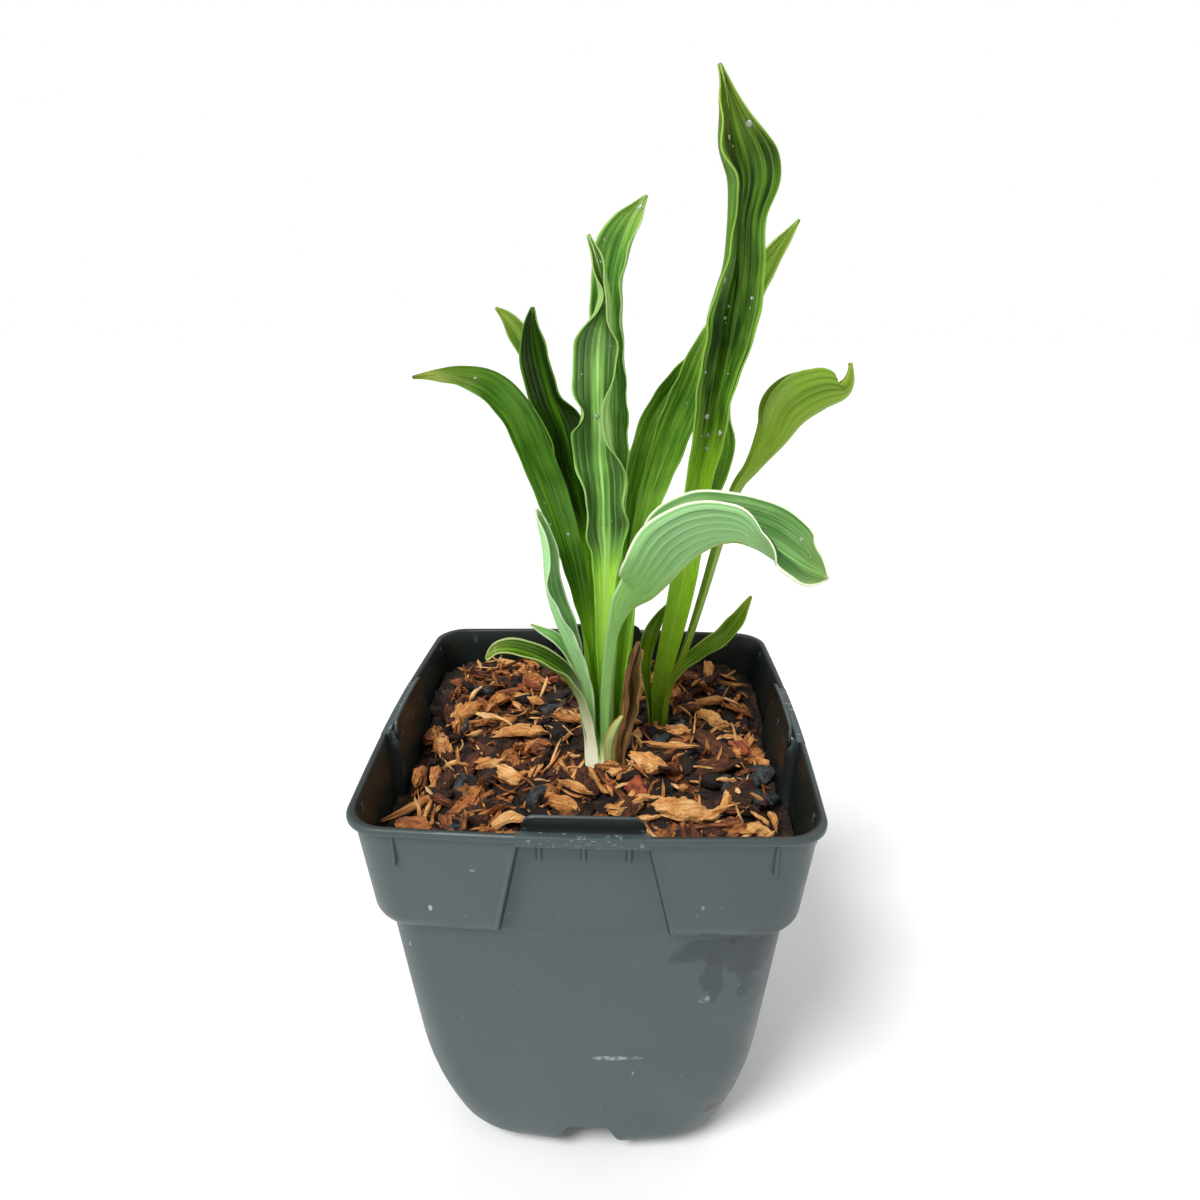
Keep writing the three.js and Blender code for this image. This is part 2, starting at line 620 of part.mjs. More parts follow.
    colour: 0x56912e, stations: [
    [8.5, -0.5, 130, 2.2, 80, 10, 45, 45],
    [10.5, 2.5, 147.5, 2.4, 70, 15, 40, 40],
    [11.5, 6.5, 164.5, 2.8, 45, 15, 35, 35],
    [13.5, 10, 178, 3.2, 20, 15, 30, 30],
    [16, 13, 188.5, 4, 10, 15, 30, 30],
    [19.5, 16, 199, 5, 5, 15, 30, 30],
    [22.5, 18, 208.5, 5.5, 0, 20, 40, 30],
    [25.5, 20, 216, 5, 0, 20, 40, 40],
    [28.5, 21, 225, 3.6, 0, 20, 30, 30],
    [31.5, 22, 232, 1.8, 0, 20, 20, 20],
    [33.5, 22.5, 236.5, 0.4, 0, 20, 20, 20],
  ] },
  { name: 'leaf_left_curled', shoot: 'left', ring: 4.5, bearing: -112, base: 2.0, across: 3,
    colour: 0x7da98a, stations: [
    [-1.5, -7, 133, 2.6, -115, 15, 45, 45],
    [-4.5, -8.5, 145, 3.8, -100, 30, 60, 50],
    [-8, -9, 154, 5, -80, 40, 75, 50],
    [-11, -9, 163.5, 5, -80, 30, 35, 60],
    [-12, -8.5, 170, 4.5, -80, 25, 10, 60],
    [-12.5, -7.5, 177.5, 4, -75, 30, 60, 50],
    [-13.5, -6.5, 183.5, 2.6, -70, 20, 50, 40],
    [-14.5, -5.5, 188, 0.5, -70, 20, 20, 20],
  ] },
  { name: 'leaf_low_left', shoot: 'left', ring: 5.8, bearing: -140, base: 2.2, across: 3,
    colour: 0x6fa34a, stations: [
    [-2, -8.5, 127, 2.6, -120, 15, 45, 45],
    [-4, -10, 136, 2.8, -95, 25, 50, 50],
    [-8, -12, 143.5, 3.4, -75, 35, 60, 60],
    [-13.5, -15, 149, 4, -65, 40, 60, 60],
    [-19.5, -17, 152.5, 3.8, -60, 40, 60, 60],
    [-24, -19, 153.5, 2.6, -60, 30, 50, 50],
    [-27, -20, 151.5, 0.5, -60, 20, 30, 30],
  ] },
  { name: 'leaf_low_small', shoot: 'left', ring: 5.8, bearing: -75, base: 1.8, across: 2,
    colour: 0xa9c48a, stations: [
    [-3.5, -0.5, 126, 1.6, -75, 15, 40, 40],
    [-4.5, 0.5, 135.5, 1.7, -70, 20, 40, 40],
    [-7, 1, 142, 2, -60, 25, 40, 40],
    [-11, 1, 148, 2, -55, 25, 35, 35],
    [-15, 1.5, 150.5, 1.2, -50, 20, 20, 20],
    [-18, 2, 152, 0.35, -50, 20, 20, 20],
  ] },
  { name: 'leaf_right_tall', shoot: 'right', ring: 0.8, bearing: 0, base: 2.6, across: 3,
    colour: 0x3c7a2c, stations: [
    [20, 18, 126, 3, 0, 15, 50, 50],
    [23, 18, 143.5, 3.8, 0, 15, 45, 45],
    [25.5, 17, 160, 4.4, 0, 20, 45, 45],
    [27.5, 16, 176.5, 4.4, 0, 25, 50, 50],
    [28.5, 15, 191, 5, 0, 35, 55, 55],
    [30.5, 14, 204, 6.5, 0, 45, 50, 60],
    [32, 13, 216, 7.5, 5, 45, 50, 65],
    [33, 12, 227.5, 8.5, -5, 45, 50, 50],
    [33.5, 11, 237, 9.5, -10, 45, 50, 45],
    [34, 10, 246.5, 8.5, -20, 50, 55, 45],
    [33.5, 9, 256.5, 8, -30, 50, 60, 45],
    [33, 8, 265, 11, -35, 50, 55, 40],
    [31.5, 7, 272, 9.5, -25, 45, 50, 40],
    [30.5, 6, 278.5, 5, -10, 40, 75, 40],
    [29.5, 5.5, 283.5, 1.9, -5, 35, 50, 35],
    [28, 5, 288, 0.5, 0, 30, 30, 30],
  ] },
  { name: 'leaf_right_back', shoot: 'right', ring: 2.3, bearing: 30, base: 2.0, across: 2,
    colour: 0x6a9a2e, stations: [
    [20.5, 22.5, 124.5, 2, 25, 10, 45, 45],
    [23.5, 25, 141.5, 2.4, 20, 15, 45, 45],
    [27, 26.5, 159, 2.8, 10, 20, 45, 45],
    [30, 27, 176.5, 3.6, 5, 25, 45, 45],
    [32.5, 26, 190, 5.5, 0, 25, 40, 30],
    [33.5, 26, 199.5, 6.2, -5, 20, 40, 20],
    [34, 26, 210, 4.2, 0, 25, 50, 60],
    [36, 26, 222.5, 4.5, 0, 25, 50, 60],
    [39, 26, 234, 4.2, 0, 25, 45, 50],
    [42.5, 26, 243, 4, 5, 20, 40, 40],
    [47, 26, 250, 2.6, 5, 20, 30, 30],
    [52.5, 26, 257.5, 0.4, 5, 20, 20, 20],
  ] },
  { name: 'leaf_right_cupped', shoot: 'right', ring: 3.5, bearing: 120, base: 2.0, across: 3,
    colour: 0x7a9c38, stations: [
    [23.5, 18, 124, 2.2, 105, 10, 45, 45],
    [28.5, 18.5, 139.5, 2.4, 90, 15, 45, 45],
    [33, 19.5, 156, 2.6, 80, 20, 45, 45],
    [37, 21, 171.5, 3, 80, 25, 50, 50],
    [41, 23, 185.5, 3.4, 90, 30, 50, 55],
    [46, 24, 192, 5, 95, 40, 55, 60],
    [53, 25, 199.5, 10.5, 95, 50, 60, 70],
    [58, 26, 205.5, 14.5, 95, 55, 68, 75],
    [64, 27, 209.5, 13, 95, 55, 68, 78],
    [70, 28, 212.5, 7.5, 90, 50, 60, 80],
    [71.5, 28.5, 216.5, 3.5, 90, 40, 50, 70],
    [70.5, 29, 221.5, 0.5, 90, 20, 30, 30],
  ] },
  { name: 'leaf_low_right', shoot: 'right', ring: 3.7, bearing: 5, base: 1.6, across: 2,
    colour: 0x86a040, stations: [
    [22, 25.5, 119, 1.6, 20, 15, 40, 40],
    [26.5, 29, 125, 2.2, 35, 20, 40, 40],
    [33, 32, 130, 2.8, 25, 25, 40, 40],
    [40, 35, 134, 3.3, 20, 25, 40, 40],
    [45.5, 37, 140, 2.8, 20, 25, 40, 40],
    [49.5, 38, 147.5, 0.4, 20, 20, 20, 20],
  ] },
  { name: 'leaf_short_middle', shoot: 'right', ring: 2.6, bearing: -75, base: 1.8, across: 2,
    colour: 0x4b7a24, stations: [
    [15.5, 21, 124, 1.8, -50, 15, 40, 40],
    [15, 22.5, 132.5, 2.4, -20, 20, 40, 40],
    [16.5, 23, 139.5, 2.6, 0, 20, 35, 35],
    [19, 24, 145, 1.8, 10, 20, 30, 30],
    [22, 25, 149.5, 0.4, 10, 20, 20, 20],
  ] },
  { name: 'bud_scale', shoot: 'left', ring: 6.2, bearing: 165, base: 1.6, across: 2,
    colour: 0xc9c98c, stations: [
    [5.5, -9.5, 121.5, 1.9, 165, 15, 40, 40],
    [7, -9.5, 126.5, 1.5, 165, 15, 40, 40],
    [8.5, -9, 129.5, 0.4, 165, 15, 20, 20],
  ] },
  { name: 'sheath_brown', shoot: 'left', ring: 6.4, bearing: 62, base: 2.2, across: 2,
    colour: 0x4a2c18, stations: [
    [12, 4, 123, 3, 50, 15, 60, 60],
    [12.5, 5, 129, 3.2, 40, 15, 60, 60],
    [12.5, 6, 136, 2.6, 30, 15, 60, 60],
    [13.5, 7, 142.5, 0.5, 20, 10, 20, 20],
  ] },
  { name: 'sheath_tan', shoot: 'left', ring: 4.6, bearing: 125, base: 1.4, across: 2,
    colour: 0xb98d55, stations: [
    [9.5, -4, 129, 1.6, 110, 15, 50, 50],
    [9.5, -4.5, 136, 1.6, 100, 15, 50, 50],
    [10.5, -5, 143.5, 1.4, 90, 15, 50, 50],
    [12.5, -5, 150.5, 0.4, 80, 10, 20, 20],
  ] },
];

const MARGIN_THICKNESS = 0.7;
const RIB_THICKNESS = 1.5;
const BASE_THICKNESS = 0.85;
const BASE_ENDS = 128;
const BASE_FOLD = 5;
const WIDEST_WRAP = 100;
const TIGHTEST_RING = 1.2;
const ROWS_PER_STATION = 1.4;
const NARROWEST = 0.35;
const THINS_OUT = 1.3;
const STEP_ASIDE = 0.02;

// Every station of a leaf, with the two that hold it upright in the soil first.
function allStations(leaf) {
  const shoot = SHOOTS[leaf.shoot];
  const x = shoot.x + leaf.ring * Math.sin(degrees(leaf.bearing));
  const y = shoot.y + leaf.ring * Math.cos(degrees(leaf.bearing));
  const wrap = Math.min(WIDEST_WRAP, leaf.base / Math.max(leaf.ring, TIGHTEST_RING) * 180 / Math.PI);
  return [
    [x, y, LEAF_FOOT, leaf.base, leaf.bearing, 0, wrap, wrap],
    [x, y, SOIL_LINE, leaf.base, leaf.bearing, BASE_FOLD, wrap, wrap],
    ...leaf.stations,
  ];
}

// Smooth values between stations; position 1.5 is half way from the second to the third.
function between(rows, position) {
  const last = rows.length - 1;
  const index = Math.min(Math.floor(position), last - 1);
  const f = position - index;
  const before = rows[Math.max(index - 1, 0)];
  const start = rows[index];
  const end = rows[index + 1];
  const after = rows[Math.min(index + 2, last)];
  return start.map((value, k) => 0.5 * (
    2 * value + (end[k] - before[k]) * f
    + (2 * before[k] - 5 * value + 4 * end[k] - after[k]) * f * f
    + (3 * value - before[k] - 3 * end[k] + after[k]) * f * f * f
  ));
}

// A closed blade: the same grid for its face and its back, joined round the edge. Grow swells it all over.
function leafSolid(leaf, grow) {
  const rows = allStations(leaf);
  const last = rows.length - 1;
  const steps = Math.round(ROWS_PER_STATION * last);
  const across = leaf.across;
  const width = 2 * across + 1;
  const face = [];
  const back = [];
  for (let s = 0; s <= steps; s += 1) {
    const position = last * s / steps;
    const row = between(rows, position);
    const ahead = new THREE.Vector3(...between(rows, Math.min(position + STEP_ASIDE, last)));
    const behind = new THREE.Vector3(...between(rows, Math.max(position - STEP_ASIDE, 0)));
    const along = ahead.sub(behind).normalize();
    const leftward = new THREE.Vector3().crossVectors(along, new THREE.Vector3(0, 1, 0)).normalize();
    const depthward = new THREE.Vector3().crossVectors(leftward, along);
    const roll = degrees(row[4]);
    const side = leftward.clone().multiplyScalar(Math.cos(roll)).addScaledVector(depthward, Math.sin(roll));
    const out = leftward.clone().multiplyScalar(Math.sin(roll)).addScaledVector(depthward, -Math.cos(roll));
    const rib = new THREE.Vector3(row[0], row[1], row[2]);
    if (s === 0) rib.addScaledVector(along, -grow);
    if (s === steps) rib.addScaledVector(along, grow);
    const half = Math.max(row[3], NARROWEST) + grow;
    const young = THREE.MathUtils.smoothstep(rib.z, SOIL_LINE, BASE_ENDS);
    const ribThickness = partWay([BASE_THICKNESS, RIB_THICKNESS], young);
    const faceRow = new Array(width);
    const backRow = new Array(width);
    for (const sign of [1, -1]) {
      const margin = sign > 0 ? row[6] : row[7];
      const place = rib.clone();
      for (let k = 0; k <= across; k += 1) {
        const fold = (step) => degrees(partWay([row[5], margin], step / across));
        const lift = fold(k);
        if (k > 0) {
          const middle = fold(k - 0.5);
          place.addScaledVector(side, sign * Math.cos(middle) * half / across);
          place.addScaledVector(out, Math.sin(middle) * half / across);
        }
        const normal = out.clone();
        if (k > 0) {
          normal.multiplyScalar(Math.cos(lift)).addScaledVector(side, -sign * Math.sin(lift));
        }
        const thin = Math.min(1, THINS_OUT * k / across);
        const thickness = partWay([ribThickness, MARGIN_THICKNESS], thin);
        const offset = thickness / 2 + grow;
        const column = across - sign * k;
        faceRow[column] = place.clone().addScaledVector(normal, offset).toArray();
        backRow[column] = place.clone().addScaledVector(normal, -offset).toArray();
      }
    }
    face.push(...faceRow);
    back.push(...backRow);
  }
  const points = [...face, ...back];
  const under = face.length;
  const faces = [];
  for (let s = 0; s < steps; s += 1) {
    for (let k = 0; k < width - 1; k += 1) {
      const a = s * width + k;
      const [b, c, d] = [a + 1, a + width + 1, a + width];
      faces.push([a, b, c], [a, c, d]);
      faces.push([a + under, c + under, b + under], [a + under, d + under, c + under]);
    }
  }
  const rim = [];
  for (let k = 0; k < width - 1; k += 1) rim.push(k);
  for (let s = 0; s < steps; s += 1) rim.push(s * width + width - 1);
  for (let k = width - 1; k > 0; k -= 1) rim.push(steps * width + k);
  for (let s = steps; s > 0; s -= 1) rim.push(s * width);
  for (let i = 0; i < rim.length; i += 1) {
    const a = rim[i];
    const b = rim[(i + 1) % rim.length];
    faces.push([a, a + under, b + under], [a, b + under, b]);
  }
  return toSolid(geometryFrom(points, faces));
}

function boxesMeet(a, b) {
  return [0, 1, 2].every((k) => a.min[k] < b.max[k] && b.min[k] < a.max[k]);
}

// The nested bases press on each other: each leaf gives way to those before it, with a small gap.
function makeLeaves() {
  const leaves = [];
  const swollen = [];
  for (const leaf of LEAVES) {
    let solid = leafSolid(leaf, 0);
    for (const other of swollen) {
      if (boxesMeet(solid.boundingBox(), other.boundingBox())) solid = solid.subtract(other);
    }
    swollen.push(leafSolid(leaf, CLEARANCE));
    leaves.push({ name: leaf.name, solid: largestPiece(solid), colour: leaf.colour, roughness: 0.45 });
  }
  return leaves;
}

const solids = [
  { name: 'pot', solid: makePot(), colour: 0x58646a, roughness: 0.5 },
  { name: 'potting_mix', solid: makeMix(makeRootstock(CLEARANCE)), colour: 0x7a4a26, roughness: 0.95 },
  { name: 'rootstock', solid: makeRootstock(0), colour: 0xd8c9a0, roughness: 0.8 },
  ...makeLeaves(),
];

const plant = new THREE.Group();
for (const { name, solid, colour, roughness } of solids) {
  const material = new THREE.MeshStandardMaterial({ color: colour, roughness, metalness: 0 });
  const mesh = new THREE.Mesh(toGeometry(solid), material);
  mesh.name = name;
  plant.add(mesh);
}

export default plant;
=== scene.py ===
import math
import random

import bpy
from mathutils import Matrix, Vector, noise


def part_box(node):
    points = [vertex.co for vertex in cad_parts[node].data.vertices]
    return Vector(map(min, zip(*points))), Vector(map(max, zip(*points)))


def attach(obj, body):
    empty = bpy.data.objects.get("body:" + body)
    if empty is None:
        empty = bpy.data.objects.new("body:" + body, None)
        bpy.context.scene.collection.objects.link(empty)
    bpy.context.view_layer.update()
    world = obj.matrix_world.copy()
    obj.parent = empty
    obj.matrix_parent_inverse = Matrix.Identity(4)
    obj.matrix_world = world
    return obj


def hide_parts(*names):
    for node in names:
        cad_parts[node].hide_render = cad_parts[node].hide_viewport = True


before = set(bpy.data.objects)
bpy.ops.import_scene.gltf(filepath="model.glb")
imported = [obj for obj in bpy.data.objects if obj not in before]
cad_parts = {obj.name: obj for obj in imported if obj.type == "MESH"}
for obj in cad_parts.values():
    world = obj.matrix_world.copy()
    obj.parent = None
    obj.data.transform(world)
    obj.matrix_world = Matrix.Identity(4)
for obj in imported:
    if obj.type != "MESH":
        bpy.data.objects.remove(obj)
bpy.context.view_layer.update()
MM = 0.001


# The view. The camera looks down over the front rim from about a hand's length away, a little from the
# right, so the front of the pot, the mix and the whole plant show at once. Its angles are in radians.
CAMERA_PLACE = Vector((9.084, -208.417, 244.682)) * MM
CAMERA_TURN = -0.035
CAMERA_DOWN = 0.383
CAMERA_ROLL = 0.002
CAMERA_LENS = 24.384
CAMERA_FILM = 36.0

forward = Vector((math.sin(CAMERA_TURN) * math.cos(CAMERA_DOWN),
                  math.cos(CAMERA_TURN) * math.cos(CAMERA_DOWN),
                  -math.sin(CAMERA_DOWN)))
level = Vector((math.cos(CAMERA_TURN), -math.sin(CAMERA_TURN), 0.0))
upward = level.cross(forward)
camera_right = level * math.cos(CAMERA_ROLL) + upward * math.sin(CAMERA_ROLL)
camera_up = upward * math.cos(CAMERA_ROLL) - level * math.sin(CAMERA_ROLL)
camera_axes = Matrix((camera_right, camera_up, -forward)).transposed()
camera_data = bpy.data.cameras.new("view")
camera_data.sensor_width = CAMERA_FILM
camera_data.lens = CAMERA_LENS
camera_data.clip_start = 0.01
camera = bpy.data.objects.new("view", camera_data)
camera.matrix_world = Matrix.Translation(CAMERA_PLACE) @ camera_axes.to_4x4()
bpy.context.scene.collection.objects.link(camera)
bpy.context.scene.camera = camera


# The studio. A plain pale floor under white light from all round, with one soft window of light on the
# left, a weaker one on the right and one behind, so the leaves keep soft shadows on their lower right.
FLOOR_REACH = 3000
FLOOR_DROP = 0.05
ROOM_LIGHT = 0.46
# Turn 0 shines from the front and -90 from the left. The height is the light's angle above the floor.
LIGHTS = {"window": {"strength": 2.6, "softness": 22, "turn": -40, "height": 55},
          "fill": {"strength": 0.15, "softness": 70, "turn": 60, "height": 35},
          "back": {"strength": 0.6, "softness": 50, "turn": 165, "height": 50}}


def paint(red, green, blue):
    """A colour as mixed on a chart, 0 to 255 a part, as the linear light that a shader takes."""
    def linear(part):
        part /= 255
        return part / 12.92 if part <= 0.04045 else ((part + 0.055) / 1.055) ** 2.4
    return (linear(red), linear(green), linear(blue), 1.0)


class Finish:
    """A surface finish: its shader, and short calls for the patterns that drive it."""

    def __init__(self, name, roughness):
        self.material = bpy.data.materials.new(name)
        self.material.use_nodes = True
        self.tree = self.material.node_tree
        self.shader = self.tree.nodes["Principled BSDF"]
        self.shader.inputs["Roughness"].default_value = roughness
        self.place = self.node("TexCoord").outputs["Object"]

    def node(self, kind, fed=None, **settings):
        """A new node with its settings made, and its inputs fed by their name or their number."""
        made = self.tree.nodes.new("ShaderNode" + kind)
        for name, setting in settings.items():
            setattr(made, name, setting)
        for key, value in (fed or {}).items():
            self.feed(made.inputs[key], value)
        return made

    def feed(self, socket, value):
        if isinstance(value, bpy.types.NodeSocket):
            self.tree.links.new(value, socket)
        else:
            socket.default_value = value

    def drive(self, name, value):
        self.feed(self.shader.inputs[name], value)

    def attribute(self, name, kind="Fac"):
        return self.node("Attribute", attribute_name=name).outputs[kind]

    def joined(self, x, y, z):
        return self.node("CombineXYZ", {0: x, 1: y, 2: z}).outputs[0]

    def maths(self, operation, first, second=0.0):
        return self.node("Math", {0: first, 1: second}, operation=operation).outputs[0]

    def times(self, first, *others):
        for other in others:
            first = self.maths("MULTIPLY", first, other)
        return first

    def plus(self, first, *others):
        for other in others:
            first = self.maths("ADD", first, other)
        return first

    def stretched(self, where, amounts):
        return self.node("Mapping", {"Vector": where, "Scale": amounts}).outputs[0]

    def mottle(self, scale, where=None, detail=3.0):
        """Soft noise over a place, or over the piece's own place."""
        where = self.place if where is None else where
        return self.node("TexNoise", {"Vector": where, "Scale": scale, "Detail": detail}).outputs[0]

    def ease(self, value, low, high, start=0.0, end=1.0):
        """Runs smoothly from start to end while the value goes from low to high."""
        fed = {"Value": value, "From Min": low, "From Max": high, "To Min": start, "To Max": end}
        return self.node("MapRange", fed, interpolation_type="SMOOTHSTEP").outputs[0]

    def blend(self, share, first, second):
        return self.node("Mix", {"Factor": share, 6: first, 7: second}, data_type="RGBA").outputs[2]

    def ramp(self, value, stops):
        node = self.node("ValToRGB", {0: value})
        band = node.color_ramp
        while len(band.elements) < len(stops):
            band.elements.new(0.5)
        for element, (at, colour) in zip(band.elements, stops):
            element.position = at
            element.color = colour
        return node.outputs[0]

    def relief(self, height, depth):
        """Small bumps as deep as depth, in millimetres."""
        self.drive("Normal", self.node("Bump", {"Height": height, "Distance": depth * MM}).outputs[0])


def make_object(name, points, faces, finish, attributes=None):
    """An object at the origin from points in millimetres. Attributes hold one number or vector a point."""
    mesh = bpy.data.meshes.new(name)
    mesh.from_pydata([(x * MM, y * MM, z * MM) for x, y, z in points], [], faces)
    for key, values in (attributes or {}).items():
        if isinstance(values[0], (float, int)):
            mesh.attributes.new(key, "FLOAT", "POINT").data.foreach_set("value", values)
        else:
            flat = [part for value in values for part in value]
            mesh.attributes.new(key, "FLOAT_VECTOR", "POINT").data.foreach_set("vector", flat)
    mesh.shade_smooth()
    mesh.materials.append(finish.material)
    made = bpy.data.objects.new(name, mesh)
    bpy.context.scene.collection.objects.link(made)
    return made


floor_finish = Finish("pale floor", 0.85)
floor_tones = (paint(246, 246, 245), paint(250, 250, 250))
floor_finish.drive("Base Color", floor_finish.blend(floor_finish.mottle(6.0), *floor_tones))
floor_corners = [(x * FLOOR_REACH, y * FLOOR_REACH, -FLOOR_DROP)
                 for x, y in ((-1, -1), (1, -1), (1, 1), (-1, 1))]
make_object("floor", floor_corners, [(0, 1, 2, 3)], floor_finish)


def hang_light(name, strength, softness, turn, height):
    """A broad far light that shines on the pot."""
    lamp = bpy.data.lights.new(name, "SUN")
    lamp.energy = strength
    lamp.angle = math.radians(softness)
    turn, height = math.radians(turn), math.radians(height)
    reach = math.cos(height)
    source = Vector((math.sin(turn) * reach, -math.cos(turn) * reach, math.sin(height)))
    holder = bpy.data.objects.new(name, lamp)
    holder.rotation_euler = (-source).to_track_quat("-Z", "Y").to_euler()
    bpy.context.scene.collection.objects.link(holder)


for light_name, light in LIGHTS.items():
    hang_light(light_name, **light)
studio = bpy.data.worlds.new("studio")
studio.use_nodes = True
studio_nodes = studio.node_tree
light_ray = studio_nodes.nodes.new("ShaderNodeLightPath")
backdrop = studio_nodes.nodes.new("ShaderNodeMapRange")
backdrop.inputs["To Min"].default_value = ROOM_LIGHT
studio_nodes.links.new(light_ray.outputs["Is Camera Ray"], backdrop.inputs["Value"])
studio_nodes.nodes["Background"].inputs["Color"].default_value = (1.0, 1.0, 1.0, 1.0)
studio_nodes.links.new(backdrop.outputs[0], studio_nodes.nodes["Background"].inputs["Strength"])
bpy.context.scene.world = studio
bpy.context.scene.view_settings.view_transform = "Standard"


# The pot: one thin injection moulding in grey-green polypropylene. A plain body tapers to a rounded foot, a
# deeper band stands out round its top, and a label pocket is let into each side of the band under a strap.
POT_HEIGHT = 126
TAB_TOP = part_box("pot")[1][2] / MM
SIDE_BOW = 1.5
RIM_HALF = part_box("pot")[1][0] / MM - SIDE_BOW
WALL = 1.0
FLOOR_THICKNESS = 1.2
LIP_HEIGHT = 2.6
BAND_HALF_TOP = 55.9
BAND_TAPER = 0.079
BAND_BOTTOM = 93
BODY_HALF = 51.1
BODY_HALF_AT = 95
BODY_TAPER = 0.078
CORNER_RADIUS = 9.5
FOOT_CORNER_RADIUS = 30
CORNER_WIDENS_BELOW = 50
FOOT_ROUND = 10
POCKET_WIDTH_TOP = 26
POCKET_WIDTH_BOTTOM = 39.6
CHEEK_WIDTH = 2.9
STRAP_HEIGHT = 2.9
STRAP_THICKNESS = 2.4
TAB_WIDTH = 29
TAB_CORNER = 3
TAB_ROOT = 3.8
NOTCH_WIDTH = 26
NOTCH_TOP_WIDTH = 11.5
NOTCH_HEIGHT = 13.3
NOTCH_INNER_END = 31
CREASE_HEIGHT = 0.25
LEAST_SIDE = 3
STRAP_LAP = 2.5
STRAP_ROUNDING = 0.4
STRAP_STEPS = 28
TAB_CROWN = 0.25
TAB_ROUNDING = 0.3
TAB_STEPS = 48
RIB_SECTION = ((0, 1), (0.6, 1), (1, 0.5), (1, -0.5), (0.6, -1), (0, -1))
PANEL_RIB_PLACES = (-10.5, 0, 10.7)
PANEL_RIBS = {"low": 116, "high": 124, "sunk": 0.8, "rise": 0.7, "width": 1.5}
CORNER_RIB_PLACES = (-44.6, 44.6)
CORNER_RIBS = {"low": 114.5, "high": 124, "sunk": 0.8, "rise": 0.8, "width": 1.3}
# Painted shade: the inside is painted dark behind the rolled lip, close to a tab, and wherever the wall
# faces in.
LIP_ROLL = 0.4
CLOSE = 0.1
UPRIGHT_FACING = 0.6
INSIDE_SHADE = 0.8
INSIDE_FALL = 2.2
INSIDE_FROM = 20
SHARP_ANGLE = 32
POCKET_ROOM = 0.9
PLAIN_STEPS = 10
POCKET_STEPS = 16
CORNER_STEPS = 12
# How a cheek of the pocket goes in: the share of its width, and how far in. A bead edges it.
CHEEK = [(0.1, -0.08), (0.22, -0.19), (0.36, -0.18), (0.46, -0.02), (0.56, 0.42), (0.68, 0.9)]
# How the band's lower edge rounds out from the body: how far back it still is, as a share, and how high.
SHOULDER = [(1, 0), (0.72, 0.12), (0.5, 0.45), (0.3, 1.2), (0.14, 2.3), (0.04, 3.4), (0, 4.6)]
# The lip from the band's outside over the top: half-width, height, and how far in the panel's edge is.
LIP = [(55.95, 123.5, 0), (56.6, 123.7, 0), (57.0, 124.1, 0), (57.2, 124.6, 0), (57.2, 125.2, 0),
       (57.05, 125.7, 0.06), (56.75, 125.95, 0.25), (56.35, 126.0, 0.5), (55.95, 126.0, 0.72),
       (55.6, 125.8, 0.92), (55.3, 125.3, 1.0)]


def body_half(z):
    return BODY_HALF + BODY_TAPER * (z - BODY_HALF_AT)


def band_half(z):
    return BAND_HALF_TOP - BAND_TAPER * (POT_HEIGHT - LIP_HEIGHT - z)


def body_corner(z):
    low = max(0.0, CORNER_WIDENS_BELOW - z) / CORNER_WIDENS_BELOW
    return CORNER_RADIUS + (FOOT_CORNER_RADIUS - CORNER_RADIUS) * low * low


def smooth(share):
    share = min(1.0, max(0.0, share))
    return share * share * (3 - 2 * share)


def pocket_half(z):
    slope = (POCKET_WIDTH_BOTTOM - POCKET_WIDTH_TOP) / (POT_HEIGHT - BAND_BOTTOM)
    return (POCKET_WIDTH_TOP + slope * (POT_HEIGHT - max(z, BAND_BOTTOM))) / 2


def side_stations(edge, pocket):
    """Places along one side, each with how far the wall is sunk there to the label panel, from 0 to 1."""
    squeeze = min(1.0, POCKET_ROOM * edge / (pocket + CHEEK_WIDTH))
    pocket *= squeeze
    cheek = CHEEK_WIDTH * squeeze
    outer = pocket + cheek
    stations = [(-edge + (edge - outer) * i / PLAIN_STEPS, 0.0) for i in range(PLAIN_STEPS)]
    stations += [(-outer + cheek * share, sunk) for share, sunk in [(0, 0)] + CHEEK]
    stations += [(-pocket + 2 * pocket * i / POCKET_STEPS, 1.0) for i in range(POCKET_STEPS)]
    stations += [(outer - cheek * share, sunk) for share, sunk in [(1, 1)] + CHEEK[::-1]]
    stations += [(outer + (edge - outer) * i / PLAIN_STEPS, 0.0) for i in range(PLAIN_STEPS)]
    return stations


def turned(points, side):
    """The same points on another side of the pot, a quarter turn for each side."""
    c, s = round(math.cos(side * math.pi / 2)), round(math.sin(side * math.pi / 2))
    return [(c * x - s * y, s * x + c * y, z) for x, y, z in points]


def pot_ring(z, half, panel, corner, bow):
    """One turn round the pot: half is how far out the wall stands, panel how far out the label panel."""
    edge = half - corner
    quarter = []
    for t, sunk in side_stations(edge, pocket_half(z)):
        if z > POT_HEIGHT - LIP_HEIGHT:
            sunk = max(sunk, 0)
        swell = bow * math.cos(t / edge * math.pi / 2)
        quarter.append((half + (panel - half) * sunk + swell, t, z))
    for i in range(CORNER_STEPS):
        angle = i / CORNER_STEPS * math.pi / 2
        quarter.append((edge + corner * math.cos(angle), edge + corner * math.sin(angle), z))
    return [point for side in range(4) for point in turned(quarter, side)]


